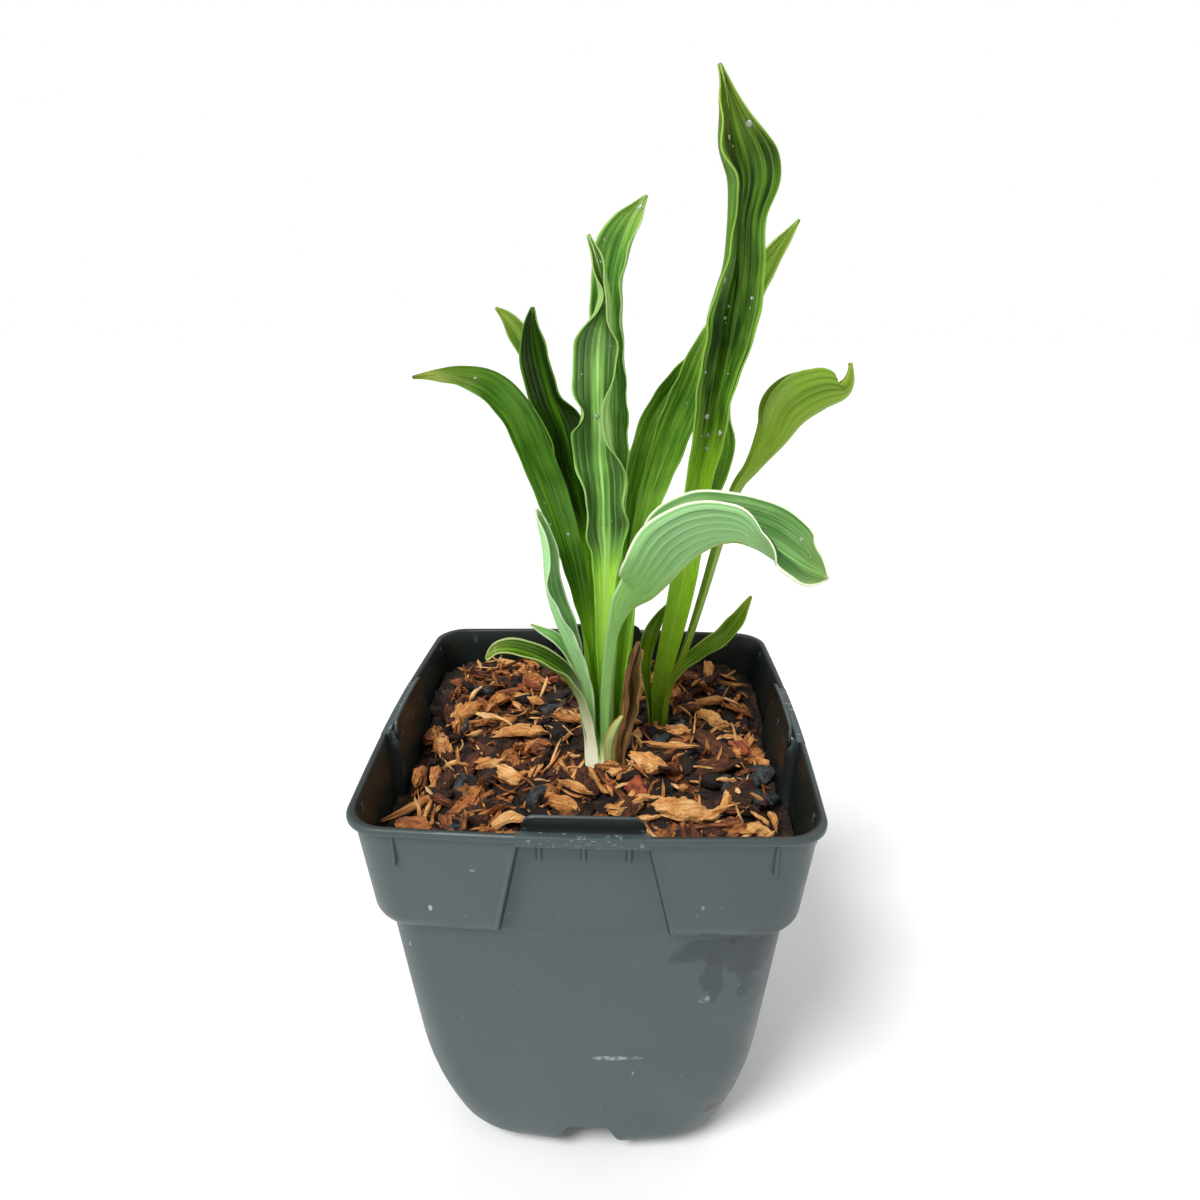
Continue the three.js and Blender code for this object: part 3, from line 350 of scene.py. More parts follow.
def wall_rings(inset, floor_height, top):
    """The wall's outside, or its inside when inset is the wall's thickness, from the foot up to the lip."""
    rings = []
    for angle in range(0, 90, 9):
        turn = math.radians(angle)
        z = FOOT_ROUND - (FOOT_ROUND - floor_height) * math.cos(turn)
        half = body_half(FOOT_ROUND) - FOOT_ROUND * (1 - math.sin(turn)) - inset * math.sin(turn)
        corner = min(body_corner(z), half - LEAST_SIDE)
        rings.append(pot_ring(z, half, half, corner, SIDE_BOW * math.sin(turn)))
    step = BAND_BOTTOM + 1.5 * inset
    body_rows = 14
    for i in range(body_rows):
        z = FOOT_ROUND + (step - FOOT_ROUND) * i / body_rows
        half = body_half(z) - inset
        rings.append(pot_ring(z, half, half, max(1.0, body_corner(z) - inset), SIDE_BOW))
    overhang = band_half(step) - body_half(step)
    for back, rise in SHOULDER:
        z = step + rise
        crease = CREASE_HEIGHT if inset == 0 and 0.4 < rise < 1.5 else 0
        half = band_half(z) - inset - back * overhang
        rings.append(pot_ring(z, half, body_half(z) - inset + crease, CORNER_RADIUS, SIDE_BOW))
    band_start = step + SHOULDER[-1][1]
    band_rows = 6
    for i in range(1, band_rows):
        z = band_start + (top - band_start) * i / band_rows
        rings.append(pot_ring(z, band_half(z) - inset, body_half(z) - inset, CORNER_RADIUS, SIDE_BOW))
    return rings


def lofted(rings):
    """Points and faces of a closed skin over rings of equal length, with a fan over each end."""
    count = len(rings[0])
    points = [point for ring in rings for point in ring]
    faces = []
    for r in range(len(rings) - 1):
        for i in range(count):
            a = r * count + i
            b = r * count + (i + 1) % count
            faces.append((a, b, b + count, a + count))
    for ring, start, flipped in ((rings[0], 0, True), (rings[-1], (len(rings) - 1) * count, False)):
        middle = len(points)
        points.append(tuple(sum(point[k] for point in ring) / count for k in range(3)))
        for i in range(count):
            a, b = start + i, start + (i + 1) % count
            faces.append((middle, b, a) if flipped else (middle, a, b))
    return points, faces


def strap():
    """The rim strap over a label pocket on the +X side: a rounded bar that follows the bowed lip."""
    reach = POCKET_WIDTH_TOP / 2 + STRAP_LAP
    edge = RIM_HALF - CORNER_RADIUS
    section = []
    corners = ((0, 0), (0, STRAP_HEIGHT), (-STRAP_THICKNESS, STRAP_HEIGHT), (-STRAP_THICKNESS, 0))
    for number, (out, up) in enumerate(corners):
        out += STRAP_ROUNDING * (-1 if out == 0 else 1)
        up += STRAP_ROUNDING * (1 if up == 0 else -1)
        for i in range(4):
            angle = math.radians(-90 + 90 * number + 30 * i)
            section.append((out + STRAP_ROUNDING * math.cos(angle),
                            POT_HEIGHT - STRAP_HEIGHT + up + STRAP_ROUNDING * math.sin(angle)))
    rings = []
    for i in range(STRAP_STEPS + 1):
        t = reach - 2 * reach * i / STRAP_STEPS
        out = RIM_HALF + SIDE_BOW * math.cos(t / edge * math.pi / 2)
        rings.append([(out + dx, t, z) for dx, z in section])
    return lofted(rings)


def tab():
    """The tab that a label panel ends in on the +X side, above the lip, with every corner and edge round."""
    half = TAB_WIDTH / 2
    edge = body_half(POT_HEIGHT) - CORNER_RADIUS
    low = POT_HEIGHT - TAB_ROOT
    rings = []
    for i in range(TAB_STEPS + 1):
        t = half - 2 * half * i / TAB_STEPS
        past = max(0.0, abs(t) - half + TAB_CORNER)
        high = TAB_TOP - TAB_CROWN * (t / half) ** 2 - TAB_CORNER + math.sqrt(TAB_CORNER ** 2 - past ** 2)
        shoulder = high - TAB_ROUNDING
        swell = SIDE_BOW * math.cos(t / edge * math.pi / 2)
        face = body_half(high) + swell
        back = face - WALL
        foot = body_half(low) + swell
        rings.append([(foot, t, low), (face, t, shoulder), (face - TAB_ROUNDING, t, high),
                      (back + TAB_ROUNDING, t, high), (back, t, shoulder), (foot - WALL, t, low)])
    return lofted(rings)


def rib(t, face, low, high, sunk, rise, width):
    """A small moulded rib that stands on a wall of the +X side, round at its lower end."""
    near, far = face - sunk, face + rise
    rings = []
    for z, share in ((low, 0.35), (low + 0.5, 0.85), (low + 1.1, 1.0), (high - 0.35, 1.0), (high, 0.55)):
        wide = width / 2 * share
        depth = (far - near) * share
        rings.append([(near + depth * out, t + wide * across, z) for out, across in RIB_SECTION])
    return lofted(rings)


def join(parts):
    """Several (points, faces) as one."""
    points, faces = [], []
    for part_points, part_faces in parts:
        start = len(points)
        points += part_points
        faces += [tuple(start + i for i in face) for face in part_faces]
    return points, faces


pot_finish = Finish("moulded grey plastic", 0.42)
pot_rings = wall_rings(0, 0, POT_HEIGHT - LIP_HEIGHT)
pot_rings += [pot_ring(z, half, body_half(z) - sunk, CORNER_RADIUS, SIDE_BOW) for half, z, sunk in LIP]
pot_rings += reversed(wall_rings(WALL, FLOOR_THICKNESS, POT_HEIGHT - 1))


def tunnels(widen):
    """The room of the four drain notches, widened by the wall that each has round it."""
    low, high, roof = NOTCH_WIDTH / 2 + widen, NOTCH_TOP_WIDTH / 2 + widen, NOTCH_HEIGHT + widen
    points, faces = lofted([[(out, -low, -1), (out, low, -1), (out, high, roof), (out, -high, roof)]
                            for out in (NOTCH_INNER_END - widen, RIM_HALF)])
    return join([(turned(points, side), faces) for side in range(4)])


def combined(first, second, operation):
    """Two closed skins as one: both, their common room, or the first less the second."""
    body, tool = [make_object("blank", points, faces, pot_finish) for points, faces in (first, second)]
    step = body.modifiers.new("step", "BOOLEAN")
    step.operation = operation
    step.object = tool
    step.solver = "EXACT"
    mesh = bpy.data.meshes.new_from_object(body.evaluated_get(bpy.context.evaluated_depsgraph_get()))
    result = [tuple(v.co / MM) for v in mesh.vertices], [tuple(p.vertices) for p in mesh.polygons]
    for blank in (body, tool):
        bpy.data.objects.remove(blank)
    return result


mid_wall = lofted(wall_rings(WALL / 2, FLOOR_THICKNESS / 2, BAND_BOTTOM))
pot_shell = combined(lofted(pot_rings), combined(mid_wall, tunnels(WALL), "INTERSECT"), "UNION")
trim_parts = [combined(pot_shell, tunnels(0), "DIFFERENCE")]
trim_inside_shades = []
panel_face = body_half(PANEL_RIBS["low"] + 3) + SIDE_BOW
corner_face = band_half(CORNER_RIBS["low"] + 4) + 0.1
for side in range(4):
    trims = [strap()]
    trims += [rib(t, face=panel_face, **PANEL_RIBS) for t in PANEL_RIB_PLACES]
    trims += [rib(t, face=corner_face, **CORNER_RIBS) for t in CORNER_RIB_PLACES]
    trim_inside_shades += [0.0] * sum(len(points) for points, faces in trims)
    # Each tab is painted with the inside's dark shade on its faces; only its top edge stays grey.
    trims.append(tab())
    trim_inside_shades += [0.0 if at % 6 in (2, 3) else 1.0 for at in range(len(trims[-1][0]))]
    trim_parts += [(turned(points, side), faces) for points, faces in trims]
pot = make_object("nursery_pot", *join(trim_parts), pot_finish)
# Painted shade, a point at a time: how dark the inside's shade is painted on the wall, the lip and the tabs.
inside_shades = []
for vertex in pot.data.vertices[:len(trim_parts[0][0])]:
    x, y, z = vertex.co / MM
    facing = vertex.normal.dot(Vector((x, y, 0)).normalized())
    behind_lip = max(abs(x), abs(y)) < RIM_HALF - LIP_ROLL and z > POT_HEIGHT - TAB_ROOT - CLOSE
    if behind_lip and min(abs(x), abs(y)) < TAB_WIDTH / 2 + CLOSE:
        inside_shades.append(1.0 if abs(facing) > UPRIGHT_FACING else 0.0)
    else:
        inside_shades.append(smooth(INSIDE_SHADE - INSIDE_FALL * facing) if z > INSIDE_FROM else 0.0)
pot.data.attributes.new("inside", "FLOAT", "POINT").data.foreach_set("value", inside_shades + trim_inside_shades)
pot.data.set_sharp_from_angle(angle=math.radians(SHARP_ANGLE))

POT_GREY = paint(62, 75, 76)
POT_GREY_PALE = paint(70, 84, 85)
POT_GREY_SHADED = paint(50, 61, 62)
POT_SHADE_INSIDE = paint(14, 21, 19)
POT_SHADE_INSIDE_PALE = paint(26, 35, 33)
SCUFF_AND_GLINT_WHITE = paint(176, 186, 186)
WET_AND_SHADOW_GREY = paint(40, 51, 55)
SOIL_STAIN = paint(40, 24, 14)
SHADE_DEEPENS_OVER = 56
LIP_SHADE_AND_RUB_FROM = 122.6
LIP_SHADE_AND_RUB_TO = 124.0
STRAP_RUB = (13, 16)
FRONT_FROM = (-40, -30)
# Rubs, dashes, a wet patch and soil stains on the front, a painted glint where a water bead sits, and
# painted shadow under the band's edge in the wet. For each kind: its colour, how far its outline wanders,
# how much of
# it is solid, and its marks: x, z, width, height and strength.
FRONT_MARKS = [
    (SCUFF_AND_GLINT_WHITE, 1.2, 0.1, [(6.5, 44.8, 11, 2.2, 0.7), (13, 45, 6, 1.6, 0.3),
                             (-37.6, 101.1, 1.2, 2.4, 0.9), (28.4, 104, 1, 1.8, 0.8),
                             (12.8, 38.3, 1, 1.8, 0.6), (-25.8, 114.4, 2, 0.8, 0.6),
                             (-28.1, 92.9, 0.8, 1.4, 0.8), (-45.4, 84.2, 0.8, 1.8, 0.8)]),
    (WET_AND_SHADOW_GREY, 14, 0.85, [(37, 86, 27, 13, 0.8), (31.5, 76, 5, 20, 0.75), (42.5, 79, 6, 18, 0.7),
                          # Under the band's edge: wet, and partly painted shadow of the band.
                          (33, 95.5, 8, 4, 0.6), (45, 96, 8, 5, 0.5)]),
    # A painted glint: a water bead under the left drip, as a white spot.
    (SCUFF_AND_GLINT_WHITE, 1.2, 0.1, [(30.8, 68.5, 3.4, 3.2, 0.5)]),
    (SOIL_STAIN, 1.2, 0.1, [(36.9, 89.8, 2.2, 2, 0.8), (36.5, 19.5, 7, 5, 1.0)]),
]


def shade_pot(finish):
    """Cloudy grey plastic with painted shade to the right and under the lip, rubbed along the lip, marked in
    front, and painted dark inside for its shade.
    """
    ease, blend, times, plus, mottle = finish.ease, finish.blend, finish.times, finish.plus, finish.mottle
    x_place, y_place, z_place = finish.node("SeparateXYZ", {0: finish.place}).outputs
    cloud = mottle(45, detail=4.0)
    grey = blend(cloud, POT_GREY, POT_GREY_PALE)
    # Painted shade: the grey darkens towards the right side.
    grey = blend(ease(x_place, 0.0, SHADE_DEEPENS_OVER * MM, 0.0, 0.45), grey, POT_GREY_SHADED)
    on_lip = ease(z_place, LIP_SHADE_AND_RUB_FROM * MM, LIP_SHADE_AND_RUB_TO * MM)
    # Painted shade under the lip's roll; the same band also bounds the rubs on the straps.
    grey = blend(times(on_lip, 0.4), grey, POT_GREY_SHADED)
    specks = ease(mottle(900, detail=1.0), 0.79, 0.81)
    grey = blend(times(specks, 0.4), grey, SCUFF_AND_GLINT_WHITE)
    near, far = [reach * MM for reach in STRAP_RUB]
    on_strap = [ease(finish.maths("ABSOLUTE", place), near, far, 1.0, 0.0) for place in (x_place, y_place)]
    rub = ease(mottle(700, finish.stretched(finish.place, (1, 1, 3)), 5.0), 0.58, 0.68)
    below_tab = ease(z_place, (POT_HEIGHT + 0.1) * MM, (POT_HEIGHT + 0.3) * MM, 0.45, 0.0)
    grey = blend(times(below_tab, on_lip, rub, finish.maths("MAXIMUM", *on_strap)), grey, SCUFF_AND_GLINT_WHITE)
    on_front = ease(y_place, *[y * MM for y in FRONT_FROM], 1.0, 0.0)
    wandering = plus(mottle(105, detail=2.0), -0.5)
    rubbed = ease(mottle(500, detail=2.0), 0.3, 0.6)
    for colour, wander, core, marks in FRONT_MARKS:
        drift = times(wandering, wander * MM)
        for x, z, wide, high, strength in marks:
            off_x = times(plus(x_place, drift, -x * MM), 2 / (wide * MM))
            off_z = times(plus(z_place, drift, -z * MM), 2 / (high * MM))
            away = plus(times(off_x, off_x), times(off_z, off_z))
            spot = times(ease(away, core, 1.15, strength, 0.0), on_front)
            if colour is SCUFF_AND_GLINT_WHITE:
                spot = times(spot, rubbed)
            grey = blend(spot, grey, colour)
    # Painted shade: the dark grey that stands for the shade inside the pot, on the lip's top and on the
    # tabs.
    dark = blend(cloud, POT_SHADE_INSIDE, POT_SHADE_INSIDE_PALE)
    finish.drive("Base Color", blend(finish.attribute("inside"), grey, dark))
    finish.drive("Roughness", ease(cloud, 0.3, 0.7, 0.36, 0.52))
    finish.relief(mottle(900, detail=4.0), 0.05)


shade_pot(pot_finish)
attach(pot, "root")
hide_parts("pot")


# The potting mix: damp dark humus that fills the pot to a finger's width below the rim and mounds up round
# the shoots. Composted bark is mixed through it, and the coarse pieces of that are the next section.
SHOOTS = {"left": {"x": 3.4, "y": -2.6, "hole": 7.4}, "right": {"x": 19.3, "y": 18.5, "hole": 5.2}}
LEAF_FOOT = 100
SOIL_LINE = 114
MIX_AT_WALL = 108.5
MIX_MOUND = 4.5
MOUND_MIDDLE = (8, 5)
MOUND_REACH = 46
MOUND_FALL = 1.9
BACK_RISE = 6.5
BACK_STARTS = 5
BACK_ENDS = 45
BACK_SKEW = 0.3
# The lumps of the mound are waves: how high, how fast they run along X and along Y, and where they start.
LUMPS = [(0.35, 0.31, 0.27, 0.7), (0.35, 0.31, -0.27, 1.9), (0.5, 0.63, -0.5, 0), (0.35, 0.4, 0.9, 3.57)]
# The crumbs of the humus are two patterns: how high, how fine and where each starts.
CRUMBS = [(1.1, 0.35, 3.0), (0.6, 0.9, 8.0)]
CRUMBS_SUNK = 0.9
HOLLOW_DEPTH = 6
HOLLOW_EDGE = 2.2
HOLLOW_SLOPE = 1.8
MIX_FOOT_INSET = 7.5
MIX_GAP = 0.3
MIX_RINGS = 44


def mix_height(x, y):
    """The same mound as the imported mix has: fuller at the back, and lumpy all over."""
    away = math.hypot(x - MOUND_MIDDLE[0], y - MOUND_MIDDLE[1]) / MOUND_REACH
    mound = MIX_MOUND * math.exp(-MOUND_FALL * away * away)
    back = BACK_RISE * smooth((y - BACK_SKEW * x - BACK_STARTS) / (BACK_ENDS - BACK_STARTS))
    lumps = sum(height * math.sin(a * x + b * y + start) for height, a, b, start in LUMPS)
    return MIX_AT_WALL + mound + back + lumps


def crumbly_height(x, y):
    """The mound with its crumbs, sunk where a shoot stands in it."""
    crumbs = sum(high * noise.noise((x * fine, y * fine, start)) for high, fine, start in CRUMBS)
    height = mix_height(x, y) - CRUMBS_SUNK + crumbs
    for shoot in SHOOTS.values():
        away = math.hypot(x - shoot["x"], y - shoot["y"])
        height -= HOLLOW_DEPTH * (1 - smooth((away - shoot["hole"] + HOLLOW_EDGE) / HOLLOW_SLOPE))
    return height


mix_outline = []
for height in (2.0, FOOT_ROUND, BAND_BOTTOM / 2, BAND_BOTTOM, MIX_AT_WALL - 4, MIX_AT_WALL - 1.5):
    body = body_half(height) - WALL - MIX_GAP
    inner = band_half(height) - WALL - MIX_GAP if height > BAND_BOTTOM + 4 else body
    if height < FOOT_ROUND:
        inner -= MIX_FOOT_INSET
    corner = min(body_corner(height), inner - LEAST_SIDE)
    mix_outline.append(pot_ring(height, inner, min(inner, body), corner, SIDE_BOW))
mix_rings = list(mix_outline)
for ring_number in range(MIX_RINGS):
    share = 1 - ring_number / MIX_RINGS
    plan = [(x * share, y * share) for x, y, z in mix_outline[-1]]
    mix_rings.append([(x, y, crumbly_height(x, y)) for x, y in plan])
mix_finish = Finish("damp humus", 0.92)
crumb = mix_finish.mottle(420, detail=6.0)
crumb_tones = [(0.32, paint(14, 9, 6)), (0.5, paint(38, 24, 14)), (0.66, paint(84, 54, 30))]
mix_finish.drive("Base Color", mix_finish.ramp(crumb, crumb_tones))
mix_finish.relief(mix_finish.mottle(900, detail=6.0), 0.8)
mix_skin = combined(lofted(mix_rings), tunnels(WALL + MIX_GAP), "DIFFERENCE")
mix = make_object("potting_mix_body", *mix_skin, mix_finish)
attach(mix, "root")
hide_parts("potting_mix")


# The bark: chips, flakes and shreds of milled pine bark and coconut husk, torn along the grain, that lie on
# and in the top of the mix. A few are charred black, a few are red inner bark.
BARK_REACH = 50.6
BARK_COLOURS = [(0.0, paint(8, 4, 3)), (0.2, paint(34, 16, 8)), (0.42, paint(98, 50, 22)),
                (0.62, paint(168, 100, 46)), (0.82, paint(218, 154, 84)), (1.0, paint(244, 198, 136))]
# The pieces that lie on top at set places: x, y, length, width, turn from the X axis, and paleness.
LARGE_CHIPS = [
    (-22.1, -31.9, 13.1, 8.5, 20, 0.87), (-46.9, -25.8, 23, 2.3, 57, 0.72), (-43.5, -27, 18, 1.2, 85, 0.78),
    (-41.3, -34, 6.7, 1.1, 96, 0.71), (-45.2, -36, 8, 6, 8, 0.58), (-41.2, 17.7, 15.4, 6.8, 62, 0.74),
    (-22.3, 6.9, 15.7, 4.8, 11, 0.76), (-46.4, 1.8, 13.6, 4.8, -76, 0.76), (-49.5, 5.5, 7.2, 4.8, 54, 0.51),
    (-29.3, 23.9, 9.6, 3.8, 60, 0.68), (-22.1, 21.8, 9.2, 3.3, -12, 0.72),
    (-30.8, -8.2, 7.9, 4.8, 27, 0.78), (-23.6, -13.9, 7.5, 5.1, -26, 0.82),
    (-25.9, -1.6, 10, 1.3, 84, 0.78), (-7.3, -27, 9.8, 4.3, -30, 0.75), (-2.4, -12.7, 10.5, 2.5, -11, 0.8),
    (6.1, -12.5, 4.4, 3.8, -37, 0.85), (16.2, -9.6, 10.1, 6, -33, 0.84), (21.4, -1.1, 15.5, 1.7, 5, 0.78),
    (25.3, 10.8, 6.3, 5.5, 24, 0.76), (37.1, 18.9, 12.6, 4.3, -36, 0.8), (26.2, -27.6, 15.1, 8.1, 24, 0.86),
    (9.8, -29, 8.5, 4.3, 29, 0.8), (16.7, -23.7, 8.8, 1.9, -12, 0.82), (33.4, -28, 8.4, 2.8, 48, 0.82),
    (35.3, -35.7, 10.4, 6, 21, 0.51), (43.8, -33.4, 7.2, 5.1, -38, 0.8), (48.5, -30.2, 9.9, 1.5, -85, 0.8),
    (36.1, 1.8, 15.2, 5.1, -54, 0.32), (35.8, -6.5, 18.6, 6, 31, 0.3), (35.8, 28.3, 12.3, 2.8, 27, 0.7),
    (43.8, 39.5, 12.8, 1.7, -37, 0.75), (38, 45.3, 9.5, 3.3, -84, 0.74), (24.7, 31.7, 9.8, 4.8, 72, 0.68),
    (-21, 34.4, 10.3, 2.4, -32, 0.7), (-36.2, 41.1, 20.5, 1.1, 25, 0.46),
    (-33.5, 36.9, 21.8, 1.3, 13, 0.38), (-42, 38.3, 13.9, 0.9, 37, 0.42), (42.3, 7.9, 6.7, 2.5, -9, 0.82),
    (-49.4, -13.2, 8.9, 3.3, 93, 0.72), (-45.1, -12.2, 7, 2.8, 87, 0.68),
    (-4.4, -20.2, 10.5, 2.1, -35, 0.76), (2.1, -18.6, 11.5, 1.5, -68, 0.78), (8, -15.3, 6, 1.5, 80, 0.72),
    (-8.3, -11.9, 5.9, 1.9, 111, 0.72), (38.1, 40.3, 13.5, 2.8, 55, 0.6), (48.2, 28.3, 8.6, 3.2, -70, 0.51),
    (49.5, -5.1, 4.7, 2.8, -48, 0.7), (-34.6, -18.6, 8.9, 2.8, 14, 0.51), (-33, 1.1, 11, 3.8, -26, 0.38),
    (1.3, -31.8, 5.9, 1.9, -128, 0.74), (21.9, -36.1, 9.1, 6.8, -6, 0.62),
]
RED_CHIPS = [(12.7, -18.8, 7.9, 6, -51), (43.4, 2.6, 9.1, 4, -61), (-22.1, 29.3, 6.9, 3, -41),
             (-15, 34, 5, 3, 20)]
CHARRED_CHIPS = [(-14.4, -22.8, 8, 4.5, 71), (-36.3, -15.5, 8.1, 5, 59), (-13.9, 21, 8.5, 6, 38),
                 (45.7, -19.7, 9.7, 9, -60), (48.9, -7.8, 8.2, 7, -71), (20.2, 3.9, 5.8, 4, 45),
                 (-7, 27, 8, 6, 10), (44, -13, 7, 6, 20)]
# Bark strewn at random: how many pieces, the ranges of their length, width and thickness, how ragged their
# ends are, the ranges of their paleness and of their height over the mound, and how far they tilt and bend.
UNDER_BARK = [(230, (5, 13), (3.2, 7), (1.8, 3.4), 0.14, (0.0, 0.3), (-1.6, 0.2), 16, 0.8),
              (420, (1.5, 4), (0.9, 2.2), (0.7, 1.6), 0.1, (0.0, 0.5), (-0.8, 0.6), 25, 0.0)]
TOP_BARK = [(95, (6, 13), (3.2, 7), (1.2, 2.6), 0.18, (0.08, 0.66), (-0.4, 1.2), 16, 1.2),
            (70, (7, 15), (1.2, 2.8), (0.7, 1.5), 0.16, (0.2, 0.82), (0.2, 1.8), 16, 1.6),
            (130, (3, 7), (1.0, 2.6), (0.6, 1.4), 0.22, (0.45, 1.0), (0.6, 2.0), 38, 0.6),
            (300, (3, 11), (0.35, 0.8), (0.3, 0.6), 0.12, (0.35, 0.95), (0.4, 2.2), 24, 2.0),
            (80, (3, 8), (0.6, 1.5), (0.5, 1.0), 0.2, (0.6, 1.0), (1.0, 2.4), 55, 1.0)]
RED_BARK = (3, (4, 7), (2.5, 4), (1, 1.8), 0.12, (0.5, 0.6), (1.0, 1.8), 10, 0.5)
CHARRED_BARK = (10, (4, 7), (3.2, 5), (2, 3), 0.04, (0.5, 0.6), (-0.2, 1.0), 18, 0.4)
FIBRE_SHARE = 0.8
BLOTCH_SHARE = 0.45
SQUARENESS = 0.55
LARGE_FROM = 3
END_BLUNTNESS = (2.5, 7.0)
END_PINCH = (0.45, 0.8)
CHIP_SKEW = 0.25
CHIP_SWELL = 0.55
CHIP_DENTS = 0.45
CHIP_SHARP_ANGLE = 50
PLACED_TILT = 7
PLACED_ROLL = 12
STREWN_ROLL = 22
STEEPEST = 80


def squared(value):
    return math.copysign(abs(value) ** SQUARENESS, value)


def torn_chip(draw, length, width, thick, ragged, bend):
    """Rings of one chip that lies along X: a plate uneven in outline, with teeth at both torn ends."""
    sides, steps = (14, 12) if width > LARGE_FROM else (7, 6)
    teeth = [[draw.uniform(-1, 1) * ragged for _ in range(sides)] for _ in range(2)]
    blunt, pinch = draw.uniform(*END_BLUNTNESS), draw.uniform(*END_PINCH)
    lean, start = draw.uniform(-CHIP_SKEW, CHIP_SKEW), draw.uniform(0, 50)
    rings = []
    for step in range(steps + 1):
        at = 2 * step / steps - 1
        full = 1 - pinch * abs(at) ** blunt
        ring = []
        for k in range(sides):
            angle = 2 * math.pi * k / sides
            across, upward = math.cos(angle), math.sin(angle)
            flank = 1 if across > 0 else -1
            swell = full * (1 + CHIP_SWELL * noise.noise((1.6 * at, start + 9 * flank, 0.4)))
            along = length / 2 * at + teeth[at > 0][k] * length * abs(at) ** 3
            sideways = swell * width / 2 * squared(across) + lean * width * at
            dents = CHIP_DENTS * thick * noise.noise((along * 0.45, sideways * 0.8, start))
            up = full * thick / 2 * squared(upward) + dents * (1 if upward > 0 else 0.4)
            up += bend * (at * at - 0.4) + 0.3 * bend * across * across
            ring.append((along, sideways, up))
        rings.append([ring[0]] + ring[:0:-1])
    return rings


class BarkHeap:
    """Collects chips, each with its grain and how pale it is, to make them one piece."""

    def __init__(self):
        self.parts = []
        self.grain = []
        self.tone = []

    def lay(self, rings, place, turn, tilt, roll, tone):
        points, faces = lofted(rings)
        pose = Matrix.Translation(place)
        for angle, axis in ((turn, "Z"), (-tilt, "Y"), (roll, "X")):
            pose = pose @ Matrix.Rotation(math.radians(angle), 4, axis)
        seed = 37.0 * len(self.parts)
        self.grain += [(x + seed, y, z) for x, y, z in points]
        self.tone += [tone] * len(points)
        self.parts.append(([tuple(pose @ Vector(point)) for point in points], faces))

    def make(self, name, finish):
        points, faces = join(self.parts)
        heap = make_object(name, points, faces, finish, {"grain": self.grain, "tone": self.tone})
        heap.data.set_sharp_from_angle(angle=math.radians(CHIP_SHARP_ANGLE))
        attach(heap, "root")
        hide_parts("potting_mix")


def lies_free(x, y, turn, length):
    """True if a chip with this middle stays inside the pot and clear of both shoots."""
    c, s = math.cos(math.radians(turn)), math.sin(math.radians(turn))
    for share in (-0.5, -0.25, 0, 0.25, 0.5):
        px, py = x + share * length * c, y + share * length * s
        if (abs(px) / BARK_REACH) ** 9 + (abs(py) / BARK_REACH) ** 9 > 1:
            return False
        for shoot in SHOOTS.values():
            if math.hypot(px - shoot["x"], py - shoot["y"]) < shoot["hole"] - 0.4:
                return False
    return True


def place_chips(heap, draw, chips, thick, ragged, lift, bend):
    """Lays chips at set places, each tilted a little. Its thickness and its lift are drawn from ranges."""
    for x, y, length, width, turn, *tone in chips:
        plate = min(draw.uniform(*thick), 0.8 * width)
        rings = torn_chip(draw, length, width, plate, ragged, draw.uniform(-bend, bend))
        rise = mix_height(x, y) + draw.uniform(*lift)
        lean, roll = draw.gauss(0, PLACED_TILT), draw.gauss(0, PLACED_ROLL)
        heap.lay(rings, (x, y, rise), turn, lean, roll, tone[0] if tone else 0.5)


def strew(heap, draw, count, length, width, thick, ragged, tones, lift, tilt, bend):
    """Drops chips at random over the mix. Each pair of numbers is a range to draw from."""
    laid = 0
    while laid < count:
        x, y = draw.uniform(-BARK_REACH, BARK_REACH), draw.uniform(-BARK_REACH, BARK_REACH)
        turn, long = draw.uniform(0, 360), draw.uniform(*length)
        if not lies_free(x, y, turn, long):
            continue
        lean = abs(draw.gauss(0, tilt))
        wide, plate = draw.uniform(*width), draw.uniform(*thick)
        rings = torn_chip(draw, long, wide, plate, ragged, draw.uniform(-bend, bend))
        raised = draw.uniform(*lift) + 0.35 * long / 2 * math.sin(math.radians(min(lean, STEEPEST)))
        roll, tone = draw.gauss(0, STREWN_ROLL), draw.uniform(*tones)
        heap.lay(rings, (x, y, mix_height(x, y) + raised), turn, lean, roll, tone)
        laid += 1


def split_finish(name, roughness, stretch, dark, light):
    """Bark split along its grain, streaked from a dark to a light colour."""
    finish = Finish(name, roughness)
    streaks = finish.mottle(1.0, finish.stretched(finish.attribute("grain", "Vector"), stretch), 4.0)
    finish.drive("Base Color", finish.ramp(streaks, [dark, light]))
    finish.relief(streaks, 0.3)
    return finish


bark_finish = Finish("torn bark", 0.86)
grain_place = bark_finish.attribute("grain", "Vector")
fibre = bark_finish.mottle(1.0, bark_finish.stretched(grain_place, (0.16, 2.2, 2.2)), 5.0)
blotch = bark_finish.mottle(1.0, bark_finish.stretched(grain_place, (0.22, 0.3, 0.3)), 2.0)
bark_tone = bark_finish.plus(bark_finish.attribute("tone"), bark_finish.times(fibre, FIBRE_SHARE),
                             bark_finish.times(blotch, BLOTCH_SHARE), -(FIBRE_SHARE + BLOTCH_SHARE) / 2)
bark_finish.drive("Base Color", bark_finish.ramp(bark_tone, BARK_COLOURS))
bark_finish.relief(fibre, 0.7)
red_finish = split_finish("red inner bark", 0.85, (0.2, 1.8, 1.8),
                          (0.35, paint(84, 30, 16)), (0.62, paint(176, 84, 50)))
char_finish = split_finish("charred bark", 0.6, (0.4, 1.2, 1.2),
                           (0.4, paint(8, 8, 9)), (0.68, paint(62, 68, 70)))

bark_draw = random.Random(4)
under_heap = BarkHeap()
for row in UNDER_BARK:
    strew(under_heap, bark_draw, *row)
under_heap.make("bark_under", bark_finish)

